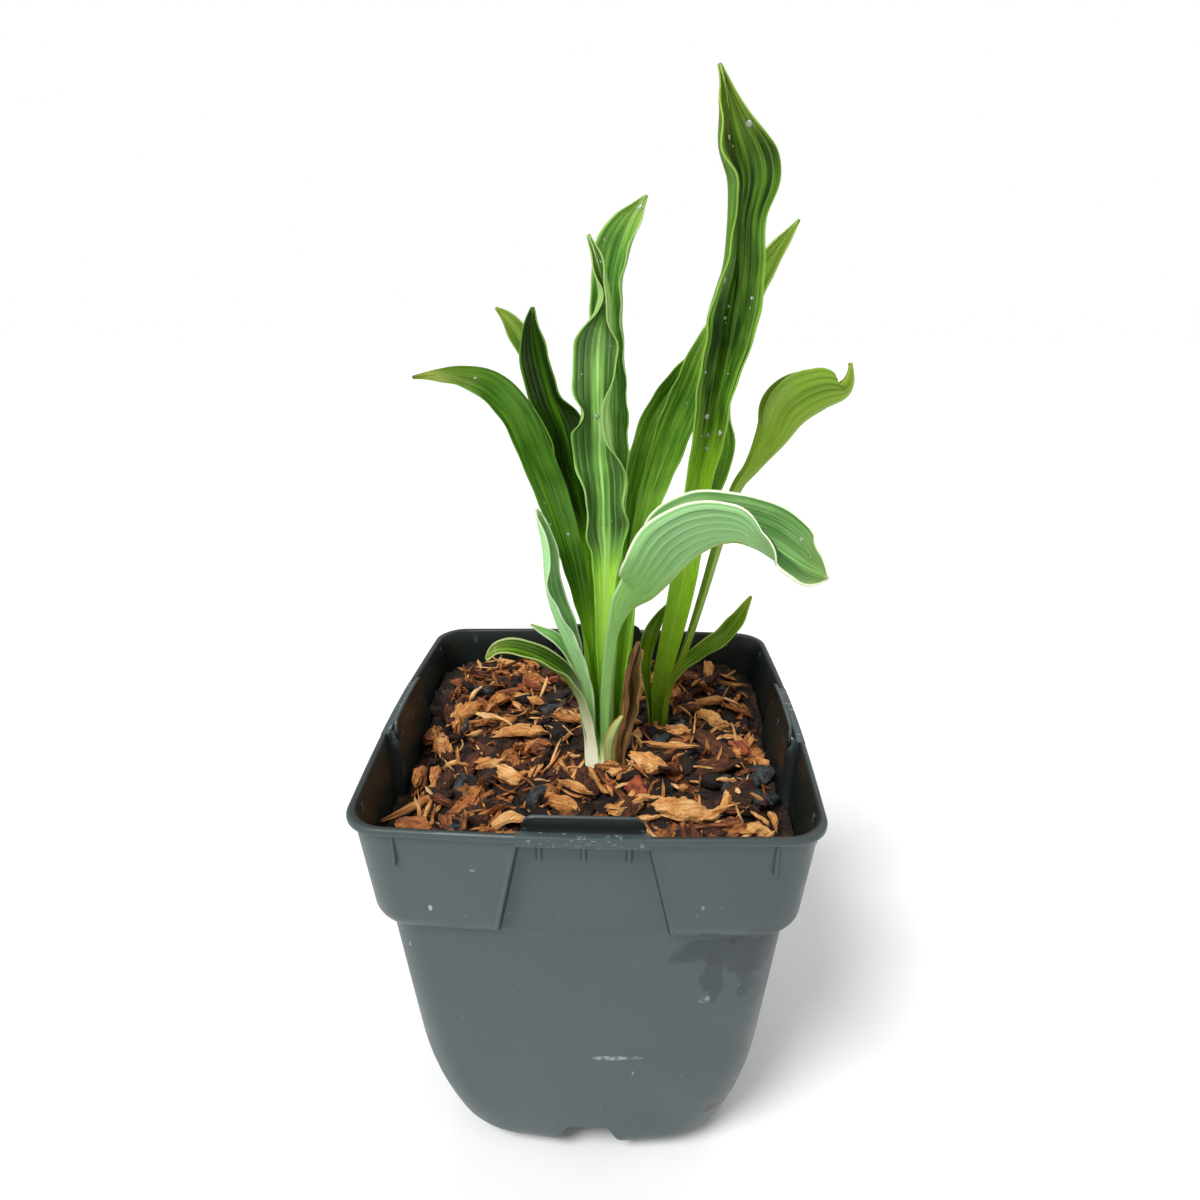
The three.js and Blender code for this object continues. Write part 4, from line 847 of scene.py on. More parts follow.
top_heap = BarkHeap()
for row in TOP_BARK:
    strew(top_heap, bark_draw, *row)
place_chips(top_heap, bark_draw, LARGE_CHIPS, thick=(1.6, 3.0), ragged=0.16, lift=(1.6, 2.4), bend=1.4)
top_heap.make("bark_top", bark_finish)

red_heap = BarkHeap()
place_chips(red_heap, bark_draw, RED_CHIPS, thick=(1.2, 2.0), ragged=0.1, lift=(2.0, 2.6), bend=0.6)
strew(red_heap, bark_draw, *RED_BARK)
red_heap.make("bark_red", red_finish)

char_heap = BarkHeap()
place_chips(char_heap, bark_draw, CHARRED_CHIPS, thick=(2.4, 3.6), ragged=0.04, lift=(1.0, 1.8), bend=0.4)
strew(char_heap, bark_draw, *CHARRED_BARK)
char_heap.make("bark_charred", char_finish)


# The rootstock: a short pale crown under each shoot, with fleshy roots that run down into the mix. It grew
# in one piece and the mix hides it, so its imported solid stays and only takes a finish.
root_finish = Finish("root skin", 0.7)
root_marks = root_finish.mottle(260, root_finish.stretched(root_finish.place, (1, 1, 0.3)), 4.0)
root_finish.drive("Base Color", root_finish.blend(root_marks, paint(168, 142, 96), paint(226, 212, 172)))
root_finish.relief(root_marks, 0.3)
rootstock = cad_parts["rootstock"]
rootstock.data.materials.clear()
rootstock.data.materials.append(root_finish.material)


# The leaves: each is one blade and its stalk, grown as one from the crown of its shoot. A dry bud scale and
# two dead sheaths, built the same way, wrap the foot of the left shoot.
LEAF_TRAITS = ("name", "shoot", "ring", "bearing", "base", "green", "veins", "wave", "margin", "relief",
               "line", "border", "trough", "white", "tip", "stations")
# Ring and bearing say where on its shoot a leaf grows, and base is half the width that wraps it there. Veins
# are counted to a half-blade. Wave, margin and relief are the height of its waves, the width of its margin
# and the depth of its ribs. Line, border and trough are how strongly those show: line the pale midrib and
# veins and the painted shade of the ribbing between the veins, border the margin, and trough the painted
# shade in the hollow of the fold. White is the height over which its base fades to green and glows with
# painted light, and tip is how yellow its tip is. Stations run from base to tip: x, y and z of the rib,
# half-width, roll, and the fold at the rib, at the left margin and at the right margin. Roll 0 faces the
# front and 90 faces left. A fold lifts a half-blade from the flat, towards the leaf's face.
LEAVES = [
    ("leaf_centre_front", "left", 0.7, 0, 2.4, "inner", 4, 0.3, 0.2, 0.3,
     0.7, 0.35, 0.85, 9, 0.15, [
        (3.5, -2.5, 134, 2.6, 0, 20, 75, 75), (3, -1.5, 149, 2.8, 0, 15, 65, 65),
        (3, -0.5, 164, 3.4, 0, 15, 60, 50), (3, 1, 174.5, 5, 0, 10, 75, 25),
        (2.5, 1.5, 181, 7, 0, 10, 90, 10), (2.5, 2, 188.5, 7, 0, 10, 95, 60),
        (2, 2.5, 195, 7, 0, 10, 60, 25), (1.5, 3, 201, 7, 0, 10, 5, 95), (1.5, 3, 207, 8, 0, 10, 50, 150),
        (1, 3, 212, 7.6, 0, 10, 105, 150), (1, 3, 218, 6.8, 0, 10, 30, 110),
        (1, 3, 225, 6.3, 0, 10, 10, 60), (1.5, 3, 230.5, 6.5, 0, 20, 50, 80),
        (2.5, 2.5, 236, 5.5, 0, 30, 120, 130), (2.5, 2, 241, 4.2, 0, 40, 130, 130),
        (1, 1, 247, 2.5, 0, 30, 90, 90), (-1, 0, 253, 0.4, 0, 20, 40, 40),
    ]),
    ("leaf_centre_back", "left", 1.9, 0, 2.4, "inner", 4, 0.3, 0.25, 0.3,
     0.5, 0.45, 0.35, 2, 0.6, [
        (4, 0.5, 132.5, 2.2, 0, 10, 50, 50), (5, 4, 153.5, 2.3, 0, 10, 50, 50),
        (5.5, 7, 173, 2.8, 0, 15, 50, 50), (5.5, 8.5, 192.5, 4.4, 0, 20, 60, 60),
        (5, 8.5, 211, 6, 0, 20, 60, 80), (4.5, 8, 226.5, 6, 5, 20, 60, 90),
        (4.5, 7, 237, 6.2, 10, 25, 50, 95), (5, 6.5, 244, 5.8, 15, 25, 35, 90),
        (6.5, 5.5, 250, 6.4, 18, 25, 30, 85), (8.5, 4.5, 255, 4.6, 18, 20, 25, 75),
        (10.5, 4, 258.5, 2.2, 15, 15, 20, 50), (12.5, 4, 261.5, 0.4, 10, 10, 20, 20),
    ]),
    ("leaf_front_drooping", "left", 3.2, 166, 1.8, "blue", 7, 0.2, 0.6, 0.4,
     0.9, 1.0, 0.4, 9, 0.25, [
        (4.5, -6.5, 131, 2.4, 155, 15, 50, 50), (5.5, -8.5, 146.5, 2.6, 135, 15, 45, 45),
        (7, -10, 156.5, 3.4, 110, 25, 45, 55), (10.5, -11, 163, 7, 100, 45, 60, 65),
        (15.5, -13, 167, 11.5, 100, 50, 60, 75), (20, -15, 172.5, 14.5, 100, 55, 65, 60),
        (24.5, -17, 178.5, 16, 98, 60, 70, 70), (29.5, -19, 183, 14.5, 95, 60, 70, 78),
        (35, -21, 185, 11.5, 85, 60, 72, 85), (40, -23, 184, 11.5, 72, 55, 66, 45),
        (44.5, -24, 182, 11, 62, 50, 60, 15), (49.5, -25.5, 179.5, 9, 60, 45, 55, 5),
        (53.5, -26.5, 178.5, 5, 60, 35, 45, 0), (56.5, -27, 177.5, 0.5, 60, 20, 30, 30),
    ]),
    ("leaf_left_arching", "left", 3.2, -124, 1.8, "deep", 4, 0.15, 0.15, 0.1,
     0.1, 0.15, 0.0, 2, 1.0, [
        (-1.5, -3, 131, 2.2, -95, 20, 45, 45), (-2, -2.5, 146.5, 2.5, -70, 25, 45, 45),
        (-4, 0, 160.5, 3.2, -40, 25, 40, 40), (-7, 2, 174.5, 4, -25, 25, 35, 35),
        (-11, 4, 188, 4.8, -15, 25, 30, 30), (-15.5, 5.5, 199.5, 5, -15, 25, 30, 30),
        (-20.5, 7, 210, 5, -20, 25, 30, 30), (-27, 8, 216.5, 4.6, -25, 25, 30, 30),
        (-34.5, 9, 219, 3.2, -30, 25, 30, 30), (-41, 9.5, 219.5, 1.8, -30, 20, 20, 20),
        (-48, 10, 219, 0.4, -30, 20, 20, 20),
    ]),
    ("leaf_left_folded", "left", 3.2, -55, 1.8, "deep", 5, 0.25, 0.15, 0.25,
     0.3, 0.35, 0.9, 2, 0.0, [
        (-0.5, 1.5, 135.5, 2.1, -40, 30, 50, 50), (-1.5, 4.5, 153, 2.4, -25, 40, 55, 55),
        (-1.5, 8, 170, 3.2, -10, 45, 60, 60), (-4, 10, 185, 5, 0, 50, 60, 60),
        (-6.5, 10, 196.5, 6.5, 0, 50, 60, 50), (-9, 10.5, 205.5, 7, -15, 50, 55, 20),
        (-11.5, 11, 214.5, 7, 10, 50, 50, 60), (-14, 11, 223.5, 6.5, 10, 50, 40, 60),
        (-15.5, 11, 230.5, 4.2, 10, 50, 45, 55), (-16, 11, 236.5, 0.5, 10, 50, 50, 50),
    ]),
    ("leaf_left_back", "left", 4.5, -20, 2.0, "fresh", 3, 0.15, 0.25, 0.2,
     0.4, 0.3, 0.5, 2, 0.7, [
        (0.5, 4.5, 131, 2, -40, 20, 40, 40), (-0.5, 8.5, 151.5, 2.3, -30, 20, 40, 40),
        (-2, 12, 168.5, 3, -20, 30, 40, 40), (-5, 14, 184, 4, -10, 30, 40, 40),
        (-8.5, 16, 197.5, 4.2, 0, 30, 40, 40), (-12.5, 17, 211, 4.2, 0, 30, 40, 40),
        (-16, 17.5, 222.5, 3.8, 0, 30, 35, 35), (-20.5, 18, 229.5, 3.2, 0, 20, 30, 30),
        (-23.5, 18, 233.5, 1.8, 0, 20, 20, 20), (-26.5, 18, 236, 0.4, 0, 20, 20, 20),
    ]),
    ("leaf_middle_dark", "left", 3.2, 14, 1.8, "fresh", 4, 0.15, 0.2, 0.2,
     0.2, 0.3, 0.15, 2, 0.2, [
        (6.5, 3, 131.5, 2, 20, 10, 45, 45), (8, 8, 152.5, 2.2, 15, 20, 45, 45),
        (8.5, 12.5, 169.5, 2.8, 10, 30, 45, 45), (9.5, 16, 185, 4, 0, 40, 50, 50),
        (12, 18, 196, 4.5, 0, 45, 50, 55), (15, 20, 205.5, 4.6, 5, 45, 50, 55),
        (18.5, 23, 212, 4.2, 5, 45, 50, 55), (22.5, 25, 218, 3, 5, 40, 45, 45),
        (25.5, 26.5, 223, 0.5, 5, 40, 40, 40),
    ]),
    ("leaf_middle_broad", "left", 3.2, 85, 1.8, "fresh", 4, 0.25, 0.25, 0.2,
     0.3, 0.3, 0.1, 2, 0.2, [
        (8.5, -0.5, 130, 2.2, 80, 10, 45, 45), (10.5, 2.5, 147.5, 2.4, 70, 15, 40, 40),
        (11.5, 6.5, 164.5, 2.8, 45, 15, 35, 35), (13.5, 10, 178, 3.2, 20, 15, 30, 30),
        (16, 13, 188.5, 4, 10, 15, 30, 30), (19.5, 16, 199, 5, 5, 15, 30, 30),
        (22.5, 18, 208.5, 5.5, 0, 20, 40, 30), (25.5, 20, 216, 5, 0, 20, 40, 40),
        (28.5, 21, 225, 3.6, 0, 20, 30, 30), (31.5, 22, 232, 1.8, 0, 20, 20, 20),
        (33.5, 22.5, 236.5, 0.4, 0, 20, 20, 20),
    ]),
    ("leaf_left_curled", "left", 4.5, -112, 2.0, "blue", 4, 0.3, 0.5, 0.3,
     0.4, 0.6, 0.25, 9, 0.2, [
        (-1.5, -7, 133, 2.6, -115, 15, 45, 45), (-4.5, -8.5, 145, 3.8, -100, 30, 60, 50),
        (-8, -9, 154, 5, -80, 40, 75, 50), (-11, -9, 163.5, 5, -80, 30, 35, 60),
        (-12, -8.5, 170, 4.5, -80, 25, 10, 60), (-12.5, -7.5, 177.5, 4, -75, 30, 60, 50),
        (-13.5, -6.5, 183.5, 2.6, -70, 20, 50, 40), (-14.5, -5.5, 188, 0.5, -70, 20, 20, 20),
    ]),
    ("leaf_low_left", "left", 5.8, -140, 2.2, "lime", 4, 0.25, 0.4, 0.2,
     0.3, 0.5, 0.5, 34, 0.4, [
        (-2, -8.5, 127, 2.6, -120, 15, 45, 45), (-4, -10, 136, 2.8, -95, 25, 50, 50),
        (-8, -12, 143.5, 3.4, -75, 35, 60, 60), (-13.5, -15, 149, 4, -65, 40, 60, 60),
        (-19.5, -17, 152.5, 3.8, -60, 40, 60, 60), (-24, -19, 153.5, 2.6, -60, 30, 50, 50),
        (-27, -20, 151.5, 0.5, -60, 20, 30, 30),
    ]),
    ("leaf_low_small", "left", 5.8, -75, 1.8, "blue", 2, 0.1, 0.3, 0.15,
     0.2, 0.5, 0.2, 9, 0.2, [
        (-3.5, -0.5, 126, 1.6, -75, 15, 40, 40), (-4.5, 0.5, 135.5, 1.7, -70, 20, 40, 40),
        (-7, 1, 142, 2, -60, 25, 40, 40), (-11, 1, 148, 2, -55, 25, 35, 35),
        (-15, 1.5, 150.5, 1.2, -50, 20, 20, 20), (-18, 2, 152, 0.35, -50, 20, 20, 20),
    ]),
    ("leaf_right_tall", "right", 0.8, 0, 2.6, "vivid", 6, 0.2, 0.25, 0.7,
     1.0, 0.7, 0.3, 0, 0.5, [
        (20, 18, 126, 3, 0, 15, 50, 50), (23, 18, 143.5, 3.8, 0, 15, 45, 45),
        (25.5, 17, 160, 4.4, 0, 20, 45, 45), (27.5, 16, 176.5, 4.4, 0, 25, 50, 50),
        (28.5, 15, 191, 5, 0, 35, 55, 55), (30.5, 14, 204, 6.5, 0, 45, 50, 60),
        (32, 13, 216, 7.5, 5, 45, 50, 65), (33, 12, 227.5, 8.5, -5, 45, 50, 50),
        (33.5, 11, 237, 9.5, -10, 45, 50, 45), (34, 10, 246.5, 8.5, -20, 50, 55, 45),
        (33.5, 9, 256.5, 8, -30, 50, 60, 45), (33, 8, 265, 11, -35, 50, 55, 40),
        (31.5, 7, 272, 9.5, -25, 45, 50, 40), (30.5, 6, 278.5, 5, -10, 40, 75, 40),
        (29.5, 5.5, 283.5, 1.9, -5, 35, 50, 35), (28, 5, 288, 0.5, 0, 30, 30, 30),
    ]),
    ("leaf_right_back", "right", 2.3, 30, 2.0, "fresh", 4, 0.2, 0.3, 0.3,
     0.5, 0.8, 0.2, 0, 0.5, [
        (20.5, 22.5, 124.5, 2, 25, 10, 45, 45), (23.5, 25, 141.5, 2.4, 20, 15, 45, 45),
        (27, 26.5, 159, 2.8, 10, 20, 45, 45), (30, 27, 176.5, 3.6, 5, 25, 45, 45),
        (32.5, 26, 190, 5.5, 0, 25, 40, 30), (33.5, 26, 199.5, 6.2, -5, 20, 40, 20),
        (34, 26, 210, 4.2, 0, 25, 50, 60), (36, 26, 222.5, 4.5, 0, 25, 50, 60),
        (39, 26, 234, 4.2, 0, 25, 45, 50), (42.5, 26, 243, 4, 5, 20, 40, 40),
        (47, 26, 250, 2.6, 5, 20, 30, 30), (52.5, 26, 257.5, 0.4, 5, 20, 20, 20),
    ]),
    ("leaf_right_cupped", "right", 3.5, 120, 2.0, "olive", 6, 0.3, 0.25, 0.35,
     0.8, 0.6, 0.8, 0, 0.2, [
        (23.5, 18, 124, 2.2, 105, 10, 45, 45), (28.5, 18.5, 139.5, 2.4, 90, 15, 45, 45),
        (33, 19.5, 156, 2.6, 80, 20, 45, 45), (37, 21, 171.5, 3, 80, 25, 50, 50),
        (41, 23, 185.5, 3.4, 90, 30, 50, 55), (46, 24, 192, 5, 95, 40, 55, 60),
        (53, 25, 199.5, 10.5, 95, 50, 60, 70), (58, 26, 205.5, 14.5, 95, 55, 68, 75),
        (64, 27, 209.5, 13, 95, 55, 68, 78), (70, 28, 212.5, 7.5, 90, 50, 60, 80),
        (71.5, 28.5, 216.5, 3.5, 90, 40, 50, 70), (70.5, 29, 221.5, 0.5, 90, 20, 30, 30),
    ]),
    ("leaf_low_right", "right", 3.7, 5, 1.6, "olive", 3, 0.2, 0.3, 0.2,
     0.3, 0.4, 0.1, 0, 0.4, [
        (22, 25.5, 119, 1.6, 20, 15, 40, 40), (26.5, 29, 125, 2.2, 35, 20, 40, 40),
        (33, 32, 130, 2.8, 25, 25, 40, 40), (40, 35, 134, 3.3, 20, 25, 40, 40),
        (45.5, 37, 140, 2.8, 20, 25, 40, 40), (49.5, 38, 147.5, 0.4, 20, 20, 20, 20),
    ]),
    ("leaf_short_middle", "right", 2.6, -75, 1.8, "olive", 3, 0.1, 0.3, 0.1,
     0.2, 0.3, 0.2, 0, 0.2, [
        (15.5, 21, 124, 1.8, -50, 15, 40, 40), (15, 22.5, 132.5, 2.4, -20, 20, 40, 40),
        (16.5, 23, 139.5, 2.6, 0, 20, 35, 35), (19, 24, 145, 1.8, 10, 20, 30, 30),
        (22, 25, 149.5, 0.4, 10, 20, 20, 20),
    ]),
    ("bud_scale", "left", 6.2, 165, 1.6, "pale", 2, 0.1, 0.4, 0.1,
     0.3, 0.9, 0.0, 3, 0.2, [
        (5.5, -9.5, 121.5, 1.9, 165, 15, 40, 40), (7, -9.5, 126.5, 1.5, 165, 15, 40, 40),
        (8.5, -9, 129.5, 0.4, 165, 15, 20, 20),
    ]),
    ("sheath_brown", "left", 6.4, 62, 2.2, "brown", 3, 0.5, 0.0, 0.2,
     0.0, 0.0, 0.0, 9, 0.2, [
        (12, 4, 123, 3, 50, 15, 60, 60), (12.5, 5, 129, 3.2, 40, 15, 60, 60),
        (12.5, 6, 136, 2.6, 30, 15, 60, 60), (13.5, 7, 142.5, 0.5, 20, 10, 20, 20),
    ]),
    ("sheath_tan", "left", 4.6, 125, 1.4, "tan", 3, 0.4, 0.0, 0.2,
     0.0, 0.0, 0.0, 9, 0.2, [
        (9.5, -4, 129, 1.6, 110, 15, 50, 50), (9.5, -4.5, 136, 1.6, 100, 15, 50, 50),
        (10.5, -5, 143.5, 1.4, 90, 15, 50, 50), (12.5, -5, 150.5, 0.4, 80, 10, 20, 20),
    ]),
]
# Greens of a leaf: shaded blade, lit blade, underside, midrib, margin, stalk.
GREENS = {
    "vivid": [(20, 60, 2), (120, 182, 44), (96, 150, 44), (190, 224, 120), (150, 190, 70), (140, 190, 40)],
    "inner": [(80, 142, 40), (166, 226, 106), (156, 196, 110), (204, 240, 170), (176, 206, 120),
              (176, 226, 78)],
    "fresh": [(62, 114, 18), (132, 186, 50), (136, 176, 70), (176, 204, 100), (176, 204, 110),
              (150, 206, 44)],
    "deep": [(28, 66, 4), (76, 128, 16), (84, 138, 36), (150, 184, 70), (120, 160, 60), (154, 210, 44)],
    "blue": [(92, 158, 76), (156, 214, 130), (174, 230, 160), (200, 224, 130), (244, 246, 218),
             (156, 212, 118)],
    "lime": [(44, 90, 4), (104, 152, 14), (130, 168, 60), (190, 210, 110), (214, 224, 160), (180, 218, 90)],
    "olive": [(62, 102, 8), (136, 174, 28), (142, 182, 60), (170, 190, 80), (180, 196, 90), (134, 168, 36)],
    "pale": [(150, 176, 90), (182, 206, 120), (186, 206, 130), (206, 218, 150), (196, 156, 96),
             (180, 206, 120)],
}
# The dead sheaths: dark fibres, light fibres, and how much paler one side is painted, as light falling on
# it.
DRY_SHEATHS = {"brown": (paint(84, 48, 28), paint(216, 164, 108), -0.2),
               "tan": (paint(96, 58, 26), paint(206, 154, 96), 0.0)}
WHITE_BASE = paint(250, 252, 222)
TIP_YELLOW = paint(160, 168, 50)
DEEPEST_SHADE_SHARE = 0.26
TIP_FROM = 0.74
WHITE_FROM = 111
PAINTED_BASE_GLOW = 0.24
ROWS_PER_STATION = 7
COLUMNS = 14
RIB_THICKNESS = 1.3
RIB_THICKNESS_LOW = 0.8
LOW_RIB_REACH = 8
MARGIN_THICKNESS = 0.35
WAVE_PITCH = 9.5
NARROWEST = 0.3
FURLED_SHARE = 0.3
UNFURLS_OVER = 0.5
BLADE_FADE = 2.3
RELIEF_HALF = 5
STATION_NUDGE = 0.02


def all_stations(leaf):
    """Every station of a leaf, with the two that hold it upright in the mix first."""
    shoot = SHOOTS[leaf["shoot"]]
    bearing = math.radians(leaf["bearing"])
    x = shoot["x"] + leaf["ring"] * math.sin(bearing)
    y = shoot["y"] + leaf["ring"] * math.cos(bearing)
    wrap = min(100.0, math.degrees(leaf["base"] / max(leaf["ring"], 1.2)))
    foot = (x, y, LEAF_FOOT, leaf["base"], leaf["bearing"], 0, wrap, wrap)
    collar = (x, y, SOIL_LINE, leaf["base"], leaf["bearing"], 5, wrap, wrap)
    return [foot, collar] + leaf["stations"]


def between(rows, position):
    """Smooth values between stations; position 1.5 is half way from the second to the third."""
    last = len(rows) - 1
    index = min(int(position), last - 1)
    share = position - index
    before, start = rows[max(index - 1, 0)], rows[index]
    end, after = rows[index + 1], rows[min(index + 2, last)]

    def curve(a, b, c, d):
        square, cube = 2 * a - 5 * b + 4 * c - d, 3 * b - a - 3 * c + d
        return 0.5 * (2 * b + (c - a) * share + square * share * share + cube * share ** 3)
    return [curve(*values) for values in zip(before, start, end, after)]


def blade(leaf):
    """A closed blade, its face and back joined round the edge, with what its finish reads and its skin."""
    rows = all_stations(leaf)
    last = len(rows) - 1
    steps = ROWS_PER_STATION * last
    width = 2 * COLUMNS + 1
    halves = [max(between(rows, last * s / steps)[3], NARROWEST) for s in range(steps + 1)]
    widest = max(halves)
    face, back, normals = [], [], []
    marks = {name: [] for name in ("across", "along", "edge", "rib", "vein", "blade", "white", "tip")}
    grown = 0.0
    travelled = 0.0
    previous = None
    for s, half in enumerate(halves):
        position = last * s / steps
        row = between(rows, position)
        ahead = Vector(between(rows, min(position + STATION_NUDGE, last))[:3])
        behind = Vector(between(rows, max(position - STATION_NUDGE, 0))[:3])
        along = (ahead - behind).normalized()
        leftward = along.cross(Vector((0, 1, 0))).normalized()
        depthward = leftward.cross(along)
        roll = math.radians(row[4])
        side = leftward * math.cos(roll) + depthward * math.sin(roll)
        out = leftward * math.sin(roll) - depthward * math.cos(roll)
        spine = Vector(row[:3])
        gone = (spine - previous).length if previous else 0
        travelled += gone
        previous = spine
        unfurled = smooth((half / widest - FURLED_SHARE) / UNFURLS_OVER)
        grown = max(grown, min(unfurled, grown + gone / (BLADE_FADE * widest)))
        white = 1 - smooth((spine.z - WHITE_FROM) / leaf["white"]) if leaf["white"] else 0.0
        tip = leaf["tip"] * smooth((s / steps - TIP_FROM) / (1 - TIP_FROM))
        thick_rib = RIB_THICKNESS if spine.z > SOIL_LINE + LOW_RIB_REACH else RIB_THICKNESS_LOW
        face_row, back_row, normal_row = [None] * width, [None] * width, [None] * width
        mark_row = [None] * width
        for sign, margin_fold in ((1, row[6]), (-1, row[7])):
            place = spine.copy()
            for k in range(COLUMNS + 1):
                share = k / COLUMNS
                lift = math.radians(row[5] + (margin_fold - row[5]) * share)
                if k:
                    middle = math.radians(row[5] + (margin_fold - row[5]) * (k - 0.5) / COLUMNS)
                    place = place + side * (sign * math.cos(middle) * half / COLUMNS)
                    place = place + out * (math.sin(middle) * half / COLUMNS)
                normal = out * math.cos(lift) - side * (sign * math.sin(lift)) if k else out
                thick = thick_rib + (MARGIN_THICKNESS - thick_rib) * min(1.0, 1.5 * share)
                fade = grown * smooth(5 * share) * smooth(5 * (1 - share))
                ribbed = math.cos(2 * math.pi * leaf["veins"] * share) * fade
                ripple = -leaf["relief"] * half / RELIEF_HALF * ribbed
                wave = leaf["wave"] * share ** 3 * grown
                ripple += wave * math.sin(2 * math.pi * travelled / WAVE_PITCH + sign + 0.7 * leaf["base"])
                column = COLUMNS - sign * k
                face_row[column] = place + normal * (ripple + thick / 2)
                back_row[column] = place + normal * (ripple - thick / 2)
                normal_row[column] = normal
                rim = half * (1 - share) / max(leaf["margin"], 0.01)
                mark_row[column] = (sign * share, travelled, rim, half * share, leaf["veins"] * share,
                                    grown, white, tip)
        face.append(face_row)
        back.append(back_row)
        normals.append(normal_row)
        for mark in mark_row:
            for values, value in zip(marks.values(), mark):
                values.append(float(value))
    points = [tuple(p) for grid in (face, back) for row in grid for p in row]
    under = len(face) * width
    faces = []
    for s in range(steps):
        for k in range(width - 1):
            a = s * width + k
            faces.append((a, a + 1, a + width + 1, a + width))
            faces.append((a + under, a + width + under, a + width + 1 + under, a + 1 + under))
    rim = list(range(width - 1))
    rim += [s * width + width - 1 for s in range(steps)]
    rim += [steps * width + k for k in range(width - 1, 0, -1)]
    rim += [s * width for s in range(steps, 0, -1)]
    for a, b in zip(rim, rim[1:] + rim[:1]):
        faces.append((a, a + under, b + under, b))
    for values in marks.values():
        values += values
    marks["under"] = [0.0] * under + [1.0] * under
    for trait in ("line", "border", "trough"):
        marks[trait] = [leaf[trait]] * (2 * under)
    return points, faces, marks, face, normals


def leaf_finish(name, greens):
    """A satin leaf: streaked green blade, vein lines with painted shade between them, painted shade in its
    trough, pale midrib and margin, light stalk, white base with a painted glow.
    """
    shaded, lit, underside, midrib, margin, stalk = [paint(*green) for green in greens]
    deepest_shade = tuple(part * DEEPEST_SHADE_SHARE for part in shaded[:3]) + (1.0,)
    finish = Finish(name, 0.46)
    finish.shader.inputs["Specular IOR Level"].default_value = 0.32
    finish.shader.inputs["Specular Tint"].default_value = paint(214, 255, 170)
    finish.shader.inputs["Coat Roughness"].default_value = 0.16
    ease, blend, times, mottle = finish.ease, finish.blend, finish.times, finish.mottle
    across, along, edge, rib_mm, vein, grown = [
        finish.attribute(mark) for mark in ("across", "along", "edge", "rib", "vein", "blade")]
    white, tip, under, line, border, trough = [
        finish.attribute(mark) for mark in ("white", "tip", "under", "line", "border", "trough")]
    streak = mottle(1.0, finish.joined(times(across, 7.0), times(along, 0.05), 0.0), 4.0)
    fine = mottle(1.0, finish.joined(times(across, 40.0), times(along, 0.16), under), 3.0)
    cloudy = mottle(60, detail=2.0)
    colour = blend(ease(finish.plus(times(streak, 0.6), times(cloudy, 0.4)), 0.36, 0.64), shaded, lit)
    colour = blend(times(under, 0.85), colour, underside)
    off_rib = finish.maths("ABSOLUTE", across)
    # Painted shade in the hollow of the folded blade, on its face only.
    painted_trough_shade = times(ease(off_rib, 0.16, 0.42), ease(off_rib, 0.82, 1.0, 1.0, 0.2), grown, trough)
    colour = blend(times(painted_trough_shade, finish.maths("SUBTRACT", 1.0, under)), colour, deepest_shade)
    between_veins = finish.maths("PINGPONG", vein, 0.5)
    # Painted shade of the ribbed blade: dark lines between the veins.
    colour = blend(times(ease(between_veins, 0.3, 0.5, 0.0, 0.5), grown, line), colour, deepest_shade)
    colour = blend(times(ease(between_veins, 0.0, 0.2, 0.3, 0.0), grown, line), colour, midrib)
    ridged = blend(ease(fine, 0.42, 0.62, 0.0, 0.4), stalk, shaded)
    colour = blend(ease(grown, 0.2, 0.9, 1.0, 0.0), colour, ridged)
    middle = times(ease(rib_mm, 0.2, 0.75, 0.8, 0.0), line, ease(grown, 0.0, 0.6, 0.25, 1.0))
    colour = blend(middle, colour, midrib)
    colour = blend(times(tip, ease(cloudy, 0.35, 0.6, 0.35, 0.75)), colour, TIP_YELLOW)
    wandering = finish.plus(edge, times(finish.plus(streak, -0.5), 1.2))
    pale = times(ease(wandering, 0.7, 1.15, 1.0, 0.0), border, ease(grown, 0.0, 0.5, 0.2, 1.0))
    colour = blend(pale, colour, margin)
    finish.drive("Base Color", blend(white, colour, WHITE_BASE))
    # A painted glow: the white base emits a little light of its own.
    finish.shader.inputs["Emission Color"].default_value = WHITE_BASE
    finish.drive("Emission Strength", times(white, PAINTED_BASE_GLOW))
    finish.drive("Roughness", ease(fine, 0.3, 0.7, 0.4, 0.54))
    finish.drive("Coat Weight", ease(cloudy, 0.46, 0.62, 0.05, 0.5))
    finish.relief(fine, 0.06)
    return finish


def dry_finish(name, dark, light, lean):
    """A papery dead sheath, streaked along its fibres, with painted light making it paler towards one side
    when lean isn't 0.
    """
    finish = Finish(name, 0.75)
    across, along = finish.attribute("across"), finish.attribute("along")
    fibre_place = finish.joined(finish.times(across, 14.0), finish.times(along, 0.12), 0.0)
    fibres = finish.mottle(1.0, fibre_place, 5.0)
    # Painted light: the fibres' tone, paler towards one side by lean.
    fibres_and_side_light = finish.plus(fibres, finish.times(across, lean))
    finish.drive("Base Color", finish.blend(finish.ease(fibres_and_side_light, 0.35, 0.65), dark, light))
    finish.relief(fibres, 0.35)
    return finish


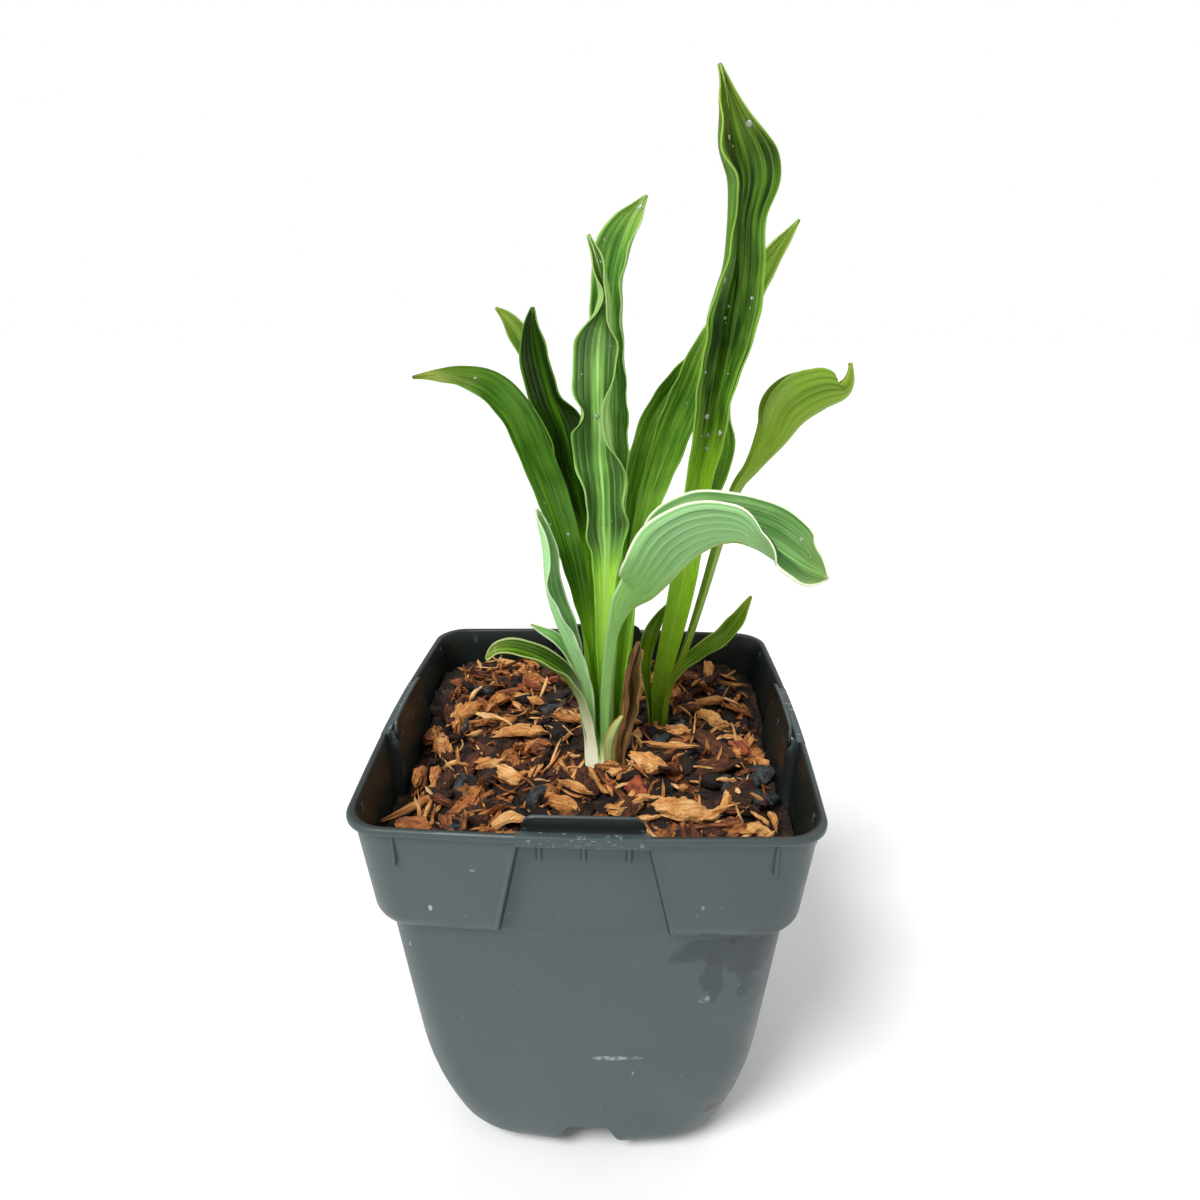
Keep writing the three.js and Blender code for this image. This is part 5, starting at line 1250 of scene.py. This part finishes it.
leaf_finishes = {green: leaf_finish("hosta " + green, tones) for green, tones in GREENS.items()}
for sheath, look in DRY_SHEATHS.items():
    leaf_finishes[sheath] = dry_finish(f"dead {sheath} sheath", *look)
leaf_skins = {}
for traits in LEAVES:
    leaf = dict(zip(LEAF_TRAITS, traits))
    leaf_points, leaf_faces, leaf_marks, *leaf_skins[leaf["name"]] = blade(leaf)
    green_finish = leaf_finishes[leaf["green"]]
    piece = make_object(leaf["name"] + "_blade", leaf_points, leaf_faces, green_finish, leaf_marks)
    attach(piece, "root")
    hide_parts(leaf["name"])


# Water: beads left on the waxy leaves after watering, most of them on the tall right leaf. A bead is clear,
# round in plan and low, and sits flat on the blade.
DROP_HEIGHT = 0.55
DROP_ANGLES = (-60, -30, 0, 30, 60, 80)
DROP_SIDES = 12
DROP_RADII = (0.25, 0.3, 0.4, 0.5, 0.8)
DROPS_ALONG = (0.3, 0.95)
DROPS_ACROSS = (0.12, 0.88)
DROPS = {"leaf_right_tall": 44, "leaf_centre_back": 12, "leaf_centre_front": 16, "leaf_left_arching": 4,
         "leaf_right_back": 6, "leaf_front_drooping": 10, "leaf_left_folded": 3, "leaf_middle_broad": 4}


def drop(centre, normal, radius):
    """One bead, round in plan and low, with its underside just in the leaf."""
    first = normal.orthogonal().normalized()
    second = normal.cross(first)
    rings = []
    for angle in DROP_ANGLES:
        out = radius * math.cos(math.radians(angle))
        rise = normal * (radius * DROP_HEIGHT * math.sin(math.radians(angle)))
        ring = []
        for k in range(DROP_SIDES):
            turn = 2 * math.pi * k / DROP_SIDES
            flat = centre + first * (out * math.cos(turn)) + second * (out * math.sin(turn))
            ring.append(tuple(flat + rise))
        rings.append(ring)
    return lofted(rings)


water_finish = Finish("water", 0.04)
water_finish.shader.inputs["Transmission Weight"].default_value = 0.7
water_finish.shader.inputs["IOR"].default_value = 1.4
water_tones = (paint(236, 248, 230), paint(250, 255, 248))
water_finish.drive("Base Color", water_finish.blend(water_finish.mottle(80), *water_tones))
drop_draw = random.Random(11)
drop_parts = []
for leaf_name, drop_count in DROPS.items():
    skin, skin_normals = leaf_skins[leaf_name]
    for _ in range(drop_count):
        s = int(drop_draw.uniform(*DROPS_ALONG) * (len(skin) - 1))
        k = int(drop_draw.uniform(*DROPS_ACROSS) * 2 * COLUMNS)
        radius = drop_draw.choice(DROP_RADII)
        drop_parts.append(drop(skin[s][k], skin_normals[s][k], radius))
drops = make_object("water_beads", *join(drop_parts), water_finish)
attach(drops, "root")
